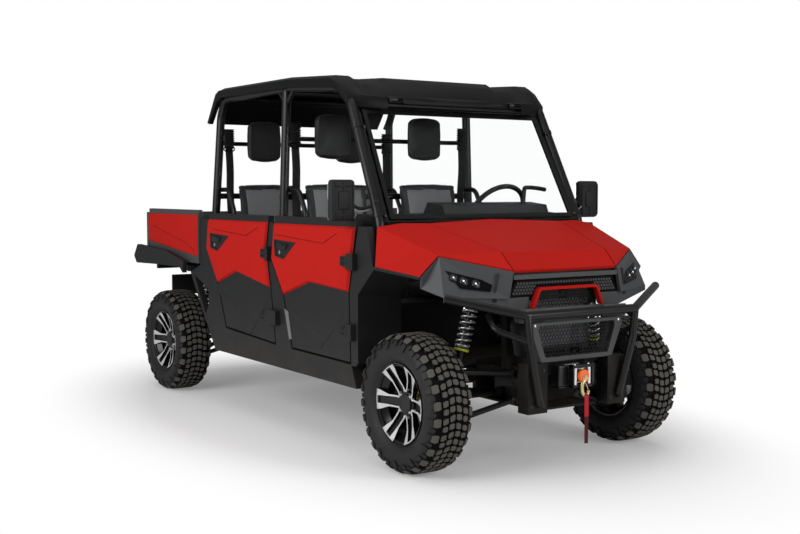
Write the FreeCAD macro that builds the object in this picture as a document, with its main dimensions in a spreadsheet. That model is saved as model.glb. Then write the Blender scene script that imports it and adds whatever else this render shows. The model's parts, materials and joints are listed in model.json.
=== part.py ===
"""Four-door side-by-side utility vehicle with a tipping cargo bed, as an assembly of its real pieces.

Millimetres, +Z up, the nose towards -Y and the vehicle's right-hand side towards -X. Stations along Y are counted
rearwards from the front axle, and every piece is moved back at the end, so that the origin lies on the ground under
the middle of the overall length.
"""
import FreeCAD, Part
import math
import os
from types import SimpleNamespace

import Sketcher
from FreeCAD import Placement, Rotation, Vector

SIZES = {
    # whole vehicle
    "wheelbase": 2820, "cabin_start": 440, "cabin_length": 1780, "rear_body": 600, "front_overhang": 465,
    "rear_overhang": 435, "track": 1320,
    # tyres
    "tyre_radius": 330, "tyre_width": 226, "bulge_radius": 262, "shoulder_radius": 304, "shoulder_tuck": 5,
    "tread_tuck": 28, "bead_width": 172, "lug_height": 14, "lug_count": 20, "lug_gap": 12,
    # rims and hubs
    "rim_seat": 178, "flange_rise": 16, "flange_width": 10, "rim_wall": 9, "rim_drop": 14, "seat_width": 24,
    "drop_run": 12, "spoke_count": 6, "spoke_root": 46, "spoke_tip": 92, "spoke_depth": 26,
    "spoke_inset": 14, "spoke_channel": 12,
    "spoke_start": 40, "spoke_gap": 44, "cap_radius": 58, "hub_face": 40, "hub_flange": 12,
    "hub_barrel": 34, "hub_end": 24, "spindle_radius": 22, "running_gap": 0.1, "disc_radius": 118,
    "disc_place": 8, "disc_width": 6, "pin_gap": 0.3,
    # knuckles and steering
    "kingpin_offset": 85, "ball_rise": 104, "eye_radius": 20, "eye_height": 24, "stud_radius": 8,
    "plate_place": 34, "plate_width": 12, "plate_half": 46, "steer_arm": 92, "steer_arm_rise": 31,
    "steer_arm_height": 12, "caliper_front": 136, "caliper_back": 88, "caliper_low": -20,
    "caliper_high": 50,
    "caliper_place": -8, "caliper_slot": 16, "caliper_reach": 125, "rack_rise": 62, "rack_radius": 9,
    "rack_housing": 20, "rack_housing_half": 110, "rod_end_radius": 14, "rod_end_height": 22,
    "wheel_rim_radius": 178, "wheel_grip": 14, "wheel_x": 335, "wheel_y": 648, "wheel_z": 1197,
    "wheel_tilt": 32,
    "wheel_hub": 42, "wheel_hub_height": 34, "column_radius": 22, "column_length": 210,
    # suspension
    "arm_x": 201, "arm_spread": 160, "arm_low_z": 318, "arm_high_z": 452, "bush_radius": 16,
    "bush_length": 30,
    "arm_tube": 14, "ball_drop": 10, "housing_height": 30, "shock_inset": 120, "shock_y": 62,
    "shock_eye": 15, "shock_bar": 14,
    "shock_lean": 83, "shock_top_z": 792, "damper_radius": 21, "damper_rod": 9, "spring_radius": 38,
    "spring_low": 0.3, "spring_high": 0.9, "spring_seat": 8, "spring_wire": 5.5, "spring_turns": 6,
    "spring_gap": 0.3, "shaft_radius": 13, "boot_radius": 28.5,
    "boot_length": 42,
    # chassis
    "rail_z": 352, "rail_height": 60, "rail_x": 270, "rail_width": 60, "rail_front": 200,
    "rail_rear_y": 3140,
    "subframe_x": 185, "subframe_width": 55, "subframe_z": 412, "subframe_height": 40,
    "subframe_front": -330,
    "subframe_rear": 230, "carrier_thick": 30, "carrier_low": 300, "carrier_high": 482, "tower_x": 155,
    "tower_width": 40, "tower_top": 776, "tower_bar": 38, "clevis_thick": 6, "skid_z": 290,
    "skid_thick": 10,
    "skid_half": 185, "drive_half": 130, "drive_low": 300, "drive_high": 408, "drive_rear": 68,
    "cross_width": 50, "bed_post_z": 826, "bed_post_width": 60, "bed_post_y": 2330,
    "receiver_half": 32, "receiver_wall": 6.5, "receiver_reach": 90, "receiver_pin": 8,
    "radiator_half": 205, "radiator_front": -250, "radiator_rear": -215, "radiator_low": 560,
    "radiator_high": 880,
    "valance_y": 3130, "valance_thick": 14, "valance_half": 560, "valance_low": 600, "valance_high": 740,
    "bed_hinge_y": 3040, "bed_hinge_z": 852, "bed_pin": 10,
    # floor and seats
    "floor_z": 412, "floor_thick": 10, "floor_front": 400, "floor_rear_y": 2262, "floor_half": 668,
    "seat_base_top": 700, "seat_base_half": 588, "seat_base_length": 430, "seat_base_wall": 14,
    "front_seat_y": 880, "rear_seat_y": 1735, "seat_x": 320, "cushion_half": 215, "cushion_height": 120,
    "cushion_length": 450, "cushion_front": 20, "soft_gap": 0.3, "back_half": 195, "back_depth": 96,
    "back_top": 1364, "back_lean": 60, "back_y": 400, "head_half": 120, "head_height": 244,
    "head_depth": 66,
    "head_z": 1632, "belt_width": 44, "belt_thick": 3, "belt_low_x": 562, "belt_high_x": 582,
    "belt_top": 1690,
    "dash_half": 632, "hump_right": 196, "hump_left": 510, "head_chamfer": 46, "battery_length": 300,
    "battery_half": 260, "battery_height": 240, "battery_inset": 60,
    # roll cage
    "cage_tube": 25, "foot_x": 640, "belt_x": 648, "roof_x": 622, "a_belt_y": 312, "belt_z": 1150,
    "a_foot_y": 432, "a_knee_z": 700, "a_top_y": 625, "a_top_z": 1770, "rail_start_y": 735,
    "b_post_y": 1318, "c_belt_y": 2216, "c_top_y": 2180, "c_top_z": 1775, "rail_end_y": 2120,
    "cage_bend": 90,
    "rail_middle_y": 1226, "rail_high_z": 1895, "gusset_run": 95, "gusset_drop": 92, "gusset_tube": 14,
    "head_bar": 13, "head_bar_back": 58, "brace_z": 1290, "brace_radius": 17.5, "guard_x": 612,
    "guard_top_z": 1330,
    "guard_reach": 190, "guard_drop": 130, "guard_tube": 14,
    # roof and windscreen
    "roof_skirt": 60, "roof_shell": 30, "skirt_wall": 20, "roof_edge_drop": 16, "roof_edge_run": 34,
    "lobe_width": 112,
    "valley_run": 30, "valley_width": 150, "valley_drop": 14, "fin_half": 668, "fin_inner": 640,
    "notch_x": 394,
    "notch_width": 95, "notch_front": 540, "notch_rear": 622, "notch_low": 1740, "notch_high": 1850,
    "glass_thick": 5, "frame_bar": 22, "frame_grow": 7, "frame_side": 22, "frame_thick": 13,
    "glass_low_half": 606,
    "glass_top_half": 584, "glass_low_y": 300, "glass_low_z": 1178, "glass_top_y": 610, "glass_top_z": 1746,
    # doors and sides
    "side_x": 740, "door_depth": 38, "pin_radius": 4, "skin": 12, "skin_bevel": 9, "handle_depth": 8,
    "skin_middle_run": 420, "skin_middle_rise": 960, "hinge_x": 762,
    "front_hinge_y": 446, "rear_hinge_y": 1318, "hinge_high_z": 975, "hinge_low_z": 625, "hinge_barrel": 8,
    "hinge_half": 24, "hinge_leaf": 5, "hinge_leaf_length": 60, "fixed_half": 40, "liner_width": 255,
    "sill_inner": 668,
    # bed
    "bed_x": 745, "bed_wall": 46, "bed_floor_z": 870, "bed_floor_thick": 14, "bed_front_y": 2262,
    "bed_rear_y": 3078, "bed_top_z": 1178, "bed_rail": 26, "tailgate_thick": 34, "tailgate_gap": 9,
    "gate_hinge_y": 3094, "gate_lug_x": 600, "gate_lug": 16, "gate_eye": 8, "gate_notch": 14,
    "bed_skin": 8, "bed_skin_bevel": 6, "bed_head_wall": 30, "bed_rail_inset": 2, "bed_rail_top": 1204,
    "hinge_lug": 12,
    "hinge_boss": 16, "gate_hinge_z": 878, "flare_x": 790, "flare_inner": 759, "shelf_inner": 640,
    # nose
    "seam": 6, "hood_ear_x": 200, "hood_hinge_y": 250, "hood_hinge_z": 1140, "hood_eye": 9, "lip_half": 326,
    "bar_front": -322, "bar_top": 936, "grille_top_half": 300, "grille_low_half": 350, "grille_top_z": 915,
    "grille_low_z": 828,
    "grille_y": -304, "grille_thick": 12, "cell_pitch": 27, "cell_wall": 4, "cell_margin": 3,
    "surround_y": -338, "surround_depth": 34, "bezel_depth": 40,
    "guard_radius": 20, "guard_bend": 45, "plate_inner": 190, "plate_outer": 305, "plate_front": -404,
    "plate_back": -330, "plate_low": 296, "plate_high": 529, "winch_half": 115, "winch_low": 400,
    "winch_high": 512, "winch_front": -400, "fairlead_half": 62, "fairlead_y": -440, "hook_z": 362,
    "hook_radius": 20, "hook_wire": 6, "mesh_thick": 3, "bezel_y": -398, "fairlead_gap": 20,
    "stopper_radius": 12, "strap_length": 230, "strap_width": 26, "strap_thick": 3,
    "mirror_x": 807, "mirror_y": 422, "mirror_z": 1277, "mirror_half_width": 72, "mirror_half_height": 104,
    "mirror_depth": 56, "mirror_arm": 11, "stalk_x": 643, "stalk_y": 364,
}

# Flat outlines seen from the side, each corner with its station and height.
SIDE_OUTLINES = {
    "front_door": {
        "front_top": (385, 1186), "front_waist": (466, 817), "front_foot": (452, 472),
        "rear_foot": (1050, 480),
        "rear_waist": (1147, 756), "rear_bulge": (1284, 941), "rear_top": (1246, 1186)},
    "front_skin": {
        "front_top": (398, 1146), "front_low": (466, 823), "dip": (861, 845), "rear_low": (1143, 758),
        "rear_bulge": (1280, 941), "rear_top": (1246, 1146)},
    "rear_door": {
        "front_top": (1322, 1186), "front_bulge": (1356, 1002), "front_waist": (1305, 783),
        "front_foot": (1252, 481), "rear_foot": (1873, 513), "rear_waist": (1992, 766),
        "rear_bulge": (2143, 985), "rear_top": (2112, 1186)},
    "rear_skin": {
        "front_top": (1326, 1150), "front_bulge": (1360, 1002), "front_low": (1310, 786),
        "dip": (1734, 851),
        "rear_low": (1988, 768), "rear_bulge": (2139, 985), "rear_top": (2112, 1150)},
    "sill": {
        "front_low": (392, 345), "front_top": (440, 460), "middle": (1245, 470), "rear_top": (1868, 500),
        "rear_end": (2180, 531),
        "rear_low": (2040, 353)},
    "front_post": {
        "foot": (392, 456), "arch": (392, 822), "arch_top": (240, 960), "belt_front": (300, 1150),
        "belt_rear": (374, 1150), "waist": (456, 817), "foot_rear": (441, 456)},
    "middle_post": {
        "foot_front": (1062, 464), "waist": (1158, 752), "bulge": (1295, 938), "top": (1258, 1150),
        "top_rear": (1311, 1150), "rear_bulge": (1344, 1002), "rear_waist": (1294, 785),
        "foot_rear": (1240, 464)},
    "rear_post": {
        "foot": (1886, 496), "waist": (2003, 763), "bulge": (2155, 985), "top": (2124, 1150),
        "top_rear": (2240, 1150), "seam": (2252, 862), "arch_top": (2404, 812), "arch_low": (2190, 531)},
    "rear_flare": {
        "arch_front": (2417, 804), "arch_top": (2466, 838), "low_middle": (2782, 838),
        "low_rear": (3210, 829),
        "tip": (3255, 878), "top_rear": (3190, 957), "top_middle": (2700, 935), "top_front": (2404, 880)},
    "flare_shelf": {
        "front_low": (2404, 812), "low": (2452, 838), "rear_low": (3036, 838), "rear_top": (3036, 850),
        "front_top": (2404, 850)},
    "bed_skin": {
        "front_top": (2272, 1174), "rear_top": (3066, 1174), "rear_notch": (3082, 1124),
        "rear_low": (3070, 985),
        "front_low": (2272, 910)},
    "arch_liner": {
        "foot": (392, 470), "arch": (392, 822), "top_rear": (240, 960), "top_front": (-96, 930),
        "inner_front": (-96, 916), "inner_rear": (232, 945),
        "inner_arch": (377, 816), "inner_foot": (377, 470)},
    "dashboard": {
        "top_front": (330, 1160), "top": (400, 1196), "brow": (560, 1206), "face_top": (610, 1150),
        "face": (560, 940), "knee": (500, 860), "toe": (420, 860), "low": (405, 1020)},
    "cowl_hump": {
        "front": (400, 1196), "top_front": (424, 1248), "top_rear": (560, 1262), "rear": (600, 1200)},
    "front_handle": {
        "rear_top": (1236, 1057), "front_top": (990, 1048), "front_low": (1126, 955),
        "rear_low": (1225, 967)
    },
    "rear_handle": {
        "rear_top": (2073, 1066), "front_top": (1815, 1055), "front_low": (1972, 963),
        "rear_low": (2068, 979)
    },
    "quarter_opening": {
        "rear_top": (2345, 795), "front_top": (2135, 722), "front_low": (2122, 640), "low": (2178, 560)
    },
    "roof_fin": {
        "front_low": (2080, 1880), "front_top": (2110, 1936), "shoulder": (2162, 1914),
        "foot_rear": (2284, 1746),
        "foot_front": (2258, 1738), "inner": (2140, 1872)},
}

# Flat outlines seen from the front, each corner with its distance from the middle and height.
FRONT_OUTLINES = {
    "upper_mesh": {"low": (198, 776), "top": (156, 862)},
    "surround": {
        "foot": (224, 776), "shoulder": (190, 862), "top": (174, 874), "under": (150, 852),
        "inner": (192, 776)
    },
    "lower_bezel": {"low": (222, 529), "middle": (290, 690), "top": (281, 717)},
    "lower_mesh": {"low": (196, 552), "middle": (240, 676), "top": (236, 700)},
}

# Corners of the folded bodywork on the left-hand side, as distance from the middle, station and height.
SPOTS = {
    "lip_middle": (0, -302, 956), "lip_corner": (326, -312, 959), "brow_middle": (0, -240, 1034),
    "brow_corner": (330, -230, 1037), "hood_rear": (434, 223, 1164), "hood_rear_middle": (0, 275, 1179),
    "fender_nose": (610, -118, 1027), "fender_front_low": (700, -105, 938),
    "fender_rear_low": (735, 222, 968),
    "fender_rear_top": (690, 275, 1150), "fender_top": (560, 262, 1166),
    "fascia_top": (610, -126, 1020), "fascia_lip": (326, -320, 952), "fascia_ear": (700, -112, 930),
    "lamp_outer_top": (604, -158, 960), "lamp_inner_top": (408, -268, 903), "lamp_low": (430, -284, 862),
    "lamp_outer_low": (560, -226, 880), "fascia_tip": (688, -92, 874), "fascia_low": (640, -204, 838),
    "fascia_inner": (352, -322, 828),
    "guard_end": (666, -250, 840), "guard_corner": (337, -434, 758), "guard_knee": (321, -436, 619),
    "guard_foot": (247, -418, 340), "brace_back": (420, -250, 751), "brace_knee": (447, -330, 694),
    "brace_front": (330, -430, 640),
}


class Dim:
    """A size that carries its value and the expression over the sheet that gives it."""

    def __init__(self, value, text, bound=True):
        self.value = float(value)
        self.text = text
        self.bound = bound

    def _join(self, other, sign, turned=False):
        other = as_dim(other)
        left, right = (other, self) if turned else (self, other)
        results = {
            "+": left.value + right.value, "-": left.value - right.value, "*": left.value * right.value
        }
        result = results[sign] if sign in results else left.value / right.value
        return Dim(result, f"({left.text} {sign} {right.text})", left.bound or right.bound)

    def __add__(self, other):
        return self._join(other, "+")

    def __radd__(self, other):
        return self._join(other, "+", turned=True)

    def __sub__(self, other):
        return self._join(other, "-")

    def __rsub__(self, other):
        return self._join(other, "-", turned=True)

    def __mul__(self, other):
        return self._join(other, "*")

    def __rmul__(self, other):
        return self._join(other, "*", turned=True)

    def __truediv__(self, other):
        return self._join(other, "/")

    def __neg__(self):
        return Dim(-self.value, f"(-{self.text})", self.bound)


def as_dim(size):
    return size if isinstance(size, Dim) else Dim(size, repr(float(size)), bound=False)


def val(size):
    return as_dim(size).value


DOC = FreeCAD.newDocument("SideBySide")
SHEET = DOC.addObject("Spreadsheet::Sheet", "Sizes")
NODES = []
PLANES = {"side": "YZ_Plane", "front": "XZ_Plane", "plan": "XY_Plane"}


def enter(alias, value, row):
    """Writes one plain number into the sheet and returns the size that stands for it."""
    SHEET.set(f"A{row}", alias)
    SHEET.set(f"B{row}", str(value))
    SHEET.setAlias(f"B{row}", alias)
    return Dim(value, f"Sizes.{alias}")


def stretched(sizes, station):
    """A station that follows the wheelbase: it stretches in the cabin, stays ahead and moves behind."""
    station = as_dim(station)
    if station.value <= sizes["cabin_start"].value:
        return station
    cabin_end = sizes["cabin_start"] + sizes["cabin_length"]
    if station.value >= cabin_end.value:
        return sizes["wheelbase"] - sizes["rear_body"] + (station - cabin_end)
    length = sizes["wheelbase"] - sizes["rear_body"] - sizes["cabin_start"]
    return sizes["cabin_start"] + (station - sizes["cabin_start"]) * (length / sizes["cabin_length"])


def fill_sheet():
    rows = iter(range(1, 2000))
    sizes = {alias: enter(alias, value, next(rows)) for alias, value in SIZES.items()}
    for alias in [alias for alias in sizes if alias.endswith("_y")]:
        sizes[alias] = stretched(sizes, sizes[alias])
    outlines = {}
    for view, table in (("side", SIDE_OUTLINES), ("front", FRONT_OUTLINES)):
        for outline, corners in table.items():
            outlines[outline] = {}
            for corner, (run, rise) in corners.items():
                run = enter(f"{outline}_{corner}_run", run, next(rows))
                rise = enter(f"{outline}_{corner}_rise", rise, next(rows))
                outlines[outline][corner] = (stretched(sizes, run) if view == "side" else run, rise)
    spots = {
        spot: tuple(enter(f"{spot}_{axis}_place", value, next(rows)) for axis, value in zip("xyz", place))
        for spot, place in SPOTS.items()
    }
    return SimpleNamespace(**sizes), outlines, spots


size, outline, spot = fill_sheet()
DOC.recompute()


def placed(number):
    """A bare station, made to follow the wheelbase as the named ones do."""
    return stretched(vars(size), number)


def corners_of(name):
    return list(outline[name].values())


def vec(point):
    return Vector(*(val(part) for part in point))


def bind(item, path, dim):
    """Sets a property from a size, through an expression where the sheet holds it."""
    dim = as_dim(dim)
    if dim.bound:
        item.setExpression(path, dim.text)
    elif path.isidentifier():
        setattr(item, path, dim.value)


def place(item, point, rotation=None):
    item.Placement = Placement(vec(point), rotation or Rotation())
    for axis, part in zip("xyz", point):
        bind(item, f"Placement.Base.{axis}", part)
    return item


def new_body(name):
    return DOC.addObject("PartDesign::Body", name)


def draw(body, view, station, corners):
    """A closed outline on one of the body's own planes at a station, each corner bound to the sheet."""
    sketch = body.newObject("Sketcher::SketchObject", body.Name + "Outline")
    plane = next(item for item in body.Origin.OriginFeatures if item.Role == PLANES[view])
    sketch.AttachmentSupport = (plane, [""])
    sketch.MapMode = "FlatFace"
    offset = -as_dim(station) if view == "front" else as_dim(station)
    sketch.AttachmentOffset = Placement(Vector(0, 0, offset.value), Rotation())
    bind(sketch, "AttachmentOffset.Base.z", offset)
    points = [Vector(val(run), val(rise), 0) for run, rise in corners]
    count = len(points)
    for index, point in enumerate(points):
        sketch.addGeometry(Part.LineSegment(point, points[(index + 1) % count]), False)
    for index in range(count):
        sketch.addConstraint(Sketcher.Constraint("Coincident", index, 2, (index + 1) % count, 1))
    for index, (run, rise) in enumerate(corners):
        for kind, dim in (("DistanceX", as_dim(run)), ("DistanceY", as_dim(rise))):
            number = sketch.addConstraint(Sketcher.Constraint(kind, -1, 1, index, 1, dim.value))
            bind(sketch, f"Constraints[{number}]", dim)
    return sketch


def pad(body, view, station, length, corners):
    """Adds the outline's solid, from its station towards the positive side."""
    feature = body.newObject("PartDesign::Pad", body.Name + "Pad")
    feature.Profile = draw(body, view, station, corners)
    bind(feature, "Length", length)
    feature.Reversed = view == "front"
    return feature


def pocket(body, view, station, length, corners):
    """Cuts the outline away, from its station towards the positive side."""
    feature = body.newObject("PartDesign::Pocket", body.Name + "Pocket")
    feature.Profile = draw(body, view, station, corners)
    bind(feature, "Length", length)
    feature.Reversed = view != "front"
    return feature


def turned(body, corners):
    """Adds the outline of distance along X and radius, turned about the X axis."""
    feature = body.newObject("PartDesign::Revolution", body.Name + "Turn")
    sketch = draw(body, "front", 0, corners)
    feature.Profile = sketch
    feature.ReferenceAxis = (sketch, ["H_Axis"])
    feature.Angle = 360
    return feature


def loft(body, view, sections):
    """Adds a skin through outlines that stand at several stations."""
    feature = body.newObject("PartDesign::AdditiveLoft", body.Name + "Loft")
    sketches = [draw(body, view, station, corners) for station, corners in sections]
    feature.Profile = sketches[0]
    feature.Sections = sketches[1:]
    feature.Ruled = True
    return feature


def repeat(body, features, axis, count):
    """Repeats features round one of the body's own axes."""
    pattern = body.newObject("PartDesign::PolarPattern", body.Name + "Pattern")
    pattern.Originals = features
    line = next(item for item in body.Origin.OriginFeatures if item.Role == axis)
    pattern.Axis = (line, [""])
    pattern.Angle = 360
    bind(pattern, "Occurrences", count)
    body.Tip = pattern
    return pattern


def bevel_skin(name, x_back, x_face, inset, corners, middle):
    """A door or bed skin: the outline at its back, and the same drawn in towards its middle at its face."""
    body = new_body(name)
    middle_run, middle_rise = middle
    face = []
    for run, rise in corners:
        face.append((run + inset * math.copysign(1, val(middle_run) - val(run)),
                     rise + inset * math.copysign(1, val(middle_rise) - val(rise))))
    loft(body, "side", [(x_back, corners), (x_face, face)])
    return body


def box(name, x_range, y_range, z_range):
    item = DOC.addObject("Part::Box", name)
    for length, (low, high) in zip(("Length", "Width", "Height"), (x_range, y_range, z_range)):
        bind(item, length, as_dim(high) - as_dim(low))
    return place(item, (x_range[0], y_range[0], z_range[0]))


def rod(name, start, end, radius):
    """A round bar between two points."""
    item = DOC.addObject("Part::Cylinder", name)
    steps = [as_dim(last) - as_dim(first) for first, last in zip(start, end)]
    squares = " + ".join(f"{step.text} ^ 2" for step in steps)
    length = math.sqrt(sum(step.value ** 2 for step in steps))
    bind(item, "Radius", radius)
    bind(item, "Height", Dim(length, f"sqrt({squares})"))
    direction = Vector(*(step.value for step in steps))
    return place(item, start, Rotation(Vector(0, 0, 1), direction))


def ball(name, centre, radius):
    item = DOC.addObject("Part::Sphere", name)
    bind(item, "Radius", radius)
    return place(item, centre)


def solid(name, shape):
    item = DOC.addObject("Part::Feature", name)
    item.Shape = shape
    return item


def bent_tube(name, points, radius, bend):
    """A round tube along straight runs that tangent arcs join."""
    spots = [vec(point) for point in points]
    edges = []
    last = spots[0]
    for before, corner, after in zip(spots, spots[1:], spots[2:]):
        inward = (corner - before).normalize()
        outward = (after - corner).normalize()
        turn = inward.getAngle(outward)
        reach = min(
            val(bend) * math.tan(turn / 2),
            0.45 * min(before.distanceToPoint(corner), corner.distanceToPoint(after))
        )
        start = corner - inward * reach
        end = corner + outward * reach
        centre_line = (outward - inward).normalize()
        arc_radius = reach / math.tan(turn / 2)
        centre = corner + centre_line * (arc_radius / math.cos(turn / 2))
        middle = centre - centre_line * arc_radius
        edges.append(Part.LineSegment(last, start).toShape())
        edges.append(Part.Arc(start, middle, end).toShape())
        last = end
    edges.append(Part.LineSegment(last, spots[-1]).toShape())
    path = Part.Wire(edges)
    start_direction = (spots[1] - spots[0]).normalize()
    section = Part.Wire(Part.makeCircle(val(radius), spots[0], start_direction))
    return solid(name, path.makePipeShell([section], True, False))


def folded_sheet(name, facets, thickness):
    """Bodywork of flat facets, given corner by corner, each made as thick as the fold along one direction."""
    slabs = []
    for facet in facets:
        points = [vec(point) for point in facet]
        slabs.append(Part.Face(Part.makePolygon(points + points[:1])).extrude(vec(thickness)))
    shape = slabs[0]
    if len(slabs) > 1:
        shape = slabs[0].multiFuse(slabs[1:]).removeSplitter()
    return solid(name, shape)


def facetted(rings):
    """A solid with flat faces between rings of points, each ring joined to the next point by point."""
    faces = [Part.Face(Part.makePolygon(ring + ring[:1])) for ring in (rings[0], rings[-1])]
    for near, far in zip(rings, rings[1:]):
        for index, corner in enumerate(near):
            after = (index + 1) % len(near)
            quad = [corner, near[after], far[after], far[index]]
            normal = (quad[1] - quad[0]).cross(quad[3] - quad[0])
            flat = abs(normal.dot(quad[2] - quad[0])) < 1e-6 * max(normal.Length, 1)
            for face in [quad] if flat else [quad[:3], [quad[0], quad[2], quad[3]]]:
                faces.append(Part.Face(Part.makePolygon(face + face[:1])))
    shell = Part.makeShell(faces)
    shell.sewShape()
    shape = Part.makeSolid(shell)
    return shape if shape.Volume > 0 else shape.reversed()


def fuse(name, *items):
    joined = DOC.addObject("Part::MultiFuse", name)
    joined.Shapes = list(items)
    return joined


def cut(name, base, tool):
    result = DOC.addObject("Part::Cut", name)
    result.Base = base
    result.Tool = tool
    return result


def group(name, *items):
    result = DOC.addObject("Part::Compound", name)
    result.Links = list(items)
    return result


def mirrored(item):
    """The same piece on the other side of the vehicle's middle plane."""
    result = DOC.addObject("Part::Mirroring", item.Name + "Mirror")
    result.Source = item
    result.Normal = Vector(1, 0, 0)
    return result


def pair(name, item):
    return group(name, item, mirrored(item))


def moved(name, item, point, half_turn=False):
    rotation = Rotation(Vector(0, 0, 1), 180 if half_turn else 0)
    return place(group(name, item), point, rotation)


STATION_SHIFT = (size.wheelbase + size.front_overhang + size.rear_overhang) / 2 - size.front_overhang


def node(label, *items):
    """One named piece of the vehicle, moved from stations behind the front axle to the vehicle's origin."""
    piece = group(label, *items)
    piece.Label = label
    place(piece, (0, -STATION_SHIFT, 0))
    NODES.append(piece)
    return piece


def both_ways(points):
    """Points on the positive side, then the same on the negative side in reverse."""
    return points + [(-as_dim(run), rise) for run, rise in reversed(points)]


def rectangle(run_low, run_high, rise_low, rise_high):
    return [(run_low, rise_low), (run_high, rise_low), (run_high, rise_high), (run_low, rise_high)]


# Wheels: each stands at the origin with its outer face towards -X.

def tyre():
    """Flat-faceted casing round the rim, with lugs that alternate between its two halves.

    It is made cell by cell, each the section of the tyre at one radial plane joined to the next."""
    half = val(size.tyre_width) / 2
    bead = val(size.bead_width) / 2
    cells = 2 * int(val(size.lug_count))
    step = 2 * math.pi / cells
    clear = val(size.rim_seat) + val(size.running_gap)
    bore = clear / math.cos(step / 2)
    over_flange = (clear + val(size.flange_rise)) / math.cos(step / 2)
    flank = [(bead, over_flange), (half, val(size.bulge_radius))]
    shoulder = (half - val(size.shoulder_tuck), val(size.shoulder_radius))
    edge = (half - val(size.tread_tuck), val(size.tyre_radius))
    height = val(size.lug_height)
    low_shoulder = (shoulder[0] - height / 2, shoulder[1] - height / 2)
    low_edge = (edge[0], edge[1] - height)
    lug_end = val(size.lug_gap) / 2
    lug = flank + [shoulder, edge, (lug_end, edge[1]), (lug_end, low_edge[1])]
    groove = flank + [low_shoulder, low_edge]
    solids = []
    for cell in range(cells):
        near, far = (lug, groove) if cell % 2 else (groove, lug)
        section = [(bead, bore)] + near + [(-run, rise) for run, rise in reversed(far)] + [(-bead, bore)]
        ends = []
        for turn in (cell * step - math.pi / 2, (cell + 1) * step - math.pi / 2):
            ends.append(
                [Vector(run, rise * math.cos(turn), rise * math.sin(turn)) for run, rise in section]
            )
        solids.append(facetted(ends))
    return solid("TyreMaster", solids[0].multiFuse(solids[1:]))


def rim():
    body = new_body("RimMaster")
    bead = size.bead_width / 2
    edge = bead + size.flange_width
    flange = size.rim_seat + size.flange_rise
    inside = size.rim_seat - size.rim_wall
    seat_end = bead - size.seat_width
    drop_start = seat_end - size.drop_run
    outer = [(edge, flange), (bead, flange), (bead, size.rim_seat), (seat_end, size.rim_seat)]
    outer.append((drop_start, size.rim_seat - size.rim_drop))
    inner = [(edge, inside), (seat_end, inside), (drop_start, inside - size.rim_drop)]
    ring = outer + [(-run, rise) for run, rise in reversed(outer)]
    ring += [(-run, rise) for run, rise in inner] + list(reversed(inner))
    turned(body, ring)
    face = -edge + size.spoke_inset
    tip_rise = inside - 1
    spoke = [
        (-size.spoke_root / 2, size.spoke_start), (size.spoke_root / 2, size.spoke_start),
        (size.spoke_tip / 2, tip_rise), (-size.spoke_tip / 2, tip_rise),
    ]
    arm = pad(body, "side", face, size.spoke_depth, spoke)
    gap = [
        (0, size.spoke_start * 2.2), (size.spoke_gap / 2, tip_rise - 8), (-size.spoke_gap / 2, tip_rise - 8)
    ]
    slot = pocket(body, "side", face, size.spoke_channel, gap)
    repeat(body, [arm, slot], "X_Axis", size.spoke_count)
    cap = [
        (face - 3, 0), (face - 3, size.cap_radius), (-size.hub_face, size.cap_radius), (-size.hub_face, 0)
    ]
    body.Tip = turned(body, cap)
    return body


def hub():
    body = new_body("HubMaster")
    bore = size.spindle_radius + size.running_gap
    flange_end = -size.hub_face + size.hub_flange
    disc_end = size.disc_place + size.disc_width
    turned(body, [
        (-size.hub_face, 0), (-size.hub_face, size.cap_radius), (flange_end, size.cap_radius),
        (flange_end, size.hub_barrel), (size.disc_place, size.hub_barrel),
        (size.disc_place, size.disc_radius),
        (disc_end, size.disc_radius), (disc_end, size.hub_barrel), (size.hub_end, size.hub_barrel),
        (size.hub_end, bore), (-size.hub_face / 2, bore), (-size.hub_face / 2, 0),
    ])
    return body


def knuckle(name, steered):
    """Upright with its spindle, two ball-joint eyes, the brake caliper and, in front, the steering arm."""
    place_x = size.plate_place
    far = place_x + size.plate_width
    top = size.ball_rise + size.eye_height / 2
    plate = new_body(name + "Plate")
    half = size.plate_half
    pad(plate, "side", place_x, size.plate_width, rectangle(-half, half, -top, top))
    spindle_end = -size.hub_face / 2 + size.pin_gap
    parts = [plate, rod(name + "Spindle", (spindle_end, 0, 0), (far, 0, 0), size.spindle_radius)]
    cutters = []
    for side, sign in (("High", 1), ("Low", -1)):
        middle = size.ball_rise * sign
        low = middle - size.eye_height / 2
        high = middle + size.eye_height / 2
        arm = box(
            name + side, (place_x, size.kingpin_offset), (-size.eye_radius, size.eye_radius), (low, high)
        )
        eye_low = (size.kingpin_offset, 0, low)
        eye_high = (size.kingpin_offset, 0, high)
        parts += [arm, rod(name + side + "Eye", eye_low, eye_high, size.eye_radius)]
        cutters.append(rod(name + side + "Bore", eye_low, eye_high, size.stud_radius + size.running_gap))
    front = -size.caliper_front
    back = -size.caliper_back
    parts.append(
        box(
            name + "Caliper", (size.caliper_place, far), (front, back),
            (size.caliper_low, size.caliper_high)
        )
    )
    parts.append(box(name + "Lug", (place_x, far), (back, -half), (size.caliper_low, size.caliper_high)))
    slot_middle = size.disc_place + size.disc_width / 2
    slot = (slot_middle - size.caliper_slot / 2, slot_middle + size.caliper_slot / 2)
    cutters.append(
        box(name + "Slot", slot, (-size.caliper_reach, back), (size.caliper_low, size.caliper_high))
    )
    if steered:
        arm = new_body(name + "Arm")
        end_x = size.kingpin_offset + size.rod_end_radius
        end_y = size.steer_arm + size.rod_end_radius
        start_y = size.steer_arm - size.rod_end_radius
        arm_outline = [
            (place_x, half / 2), (far, half / 2), (far, start_y), (end_x, start_y), (end_x, end_y),
            (place_x, end_y)
        ]
        pad(arm, "plan", size.steer_arm_rise, size.steer_arm_height, arm_outline)
        parts.append(arm)
    return cut(name, fuse(name + "Solid", *parts), fuse(name + "Holes", *cutters))


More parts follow.
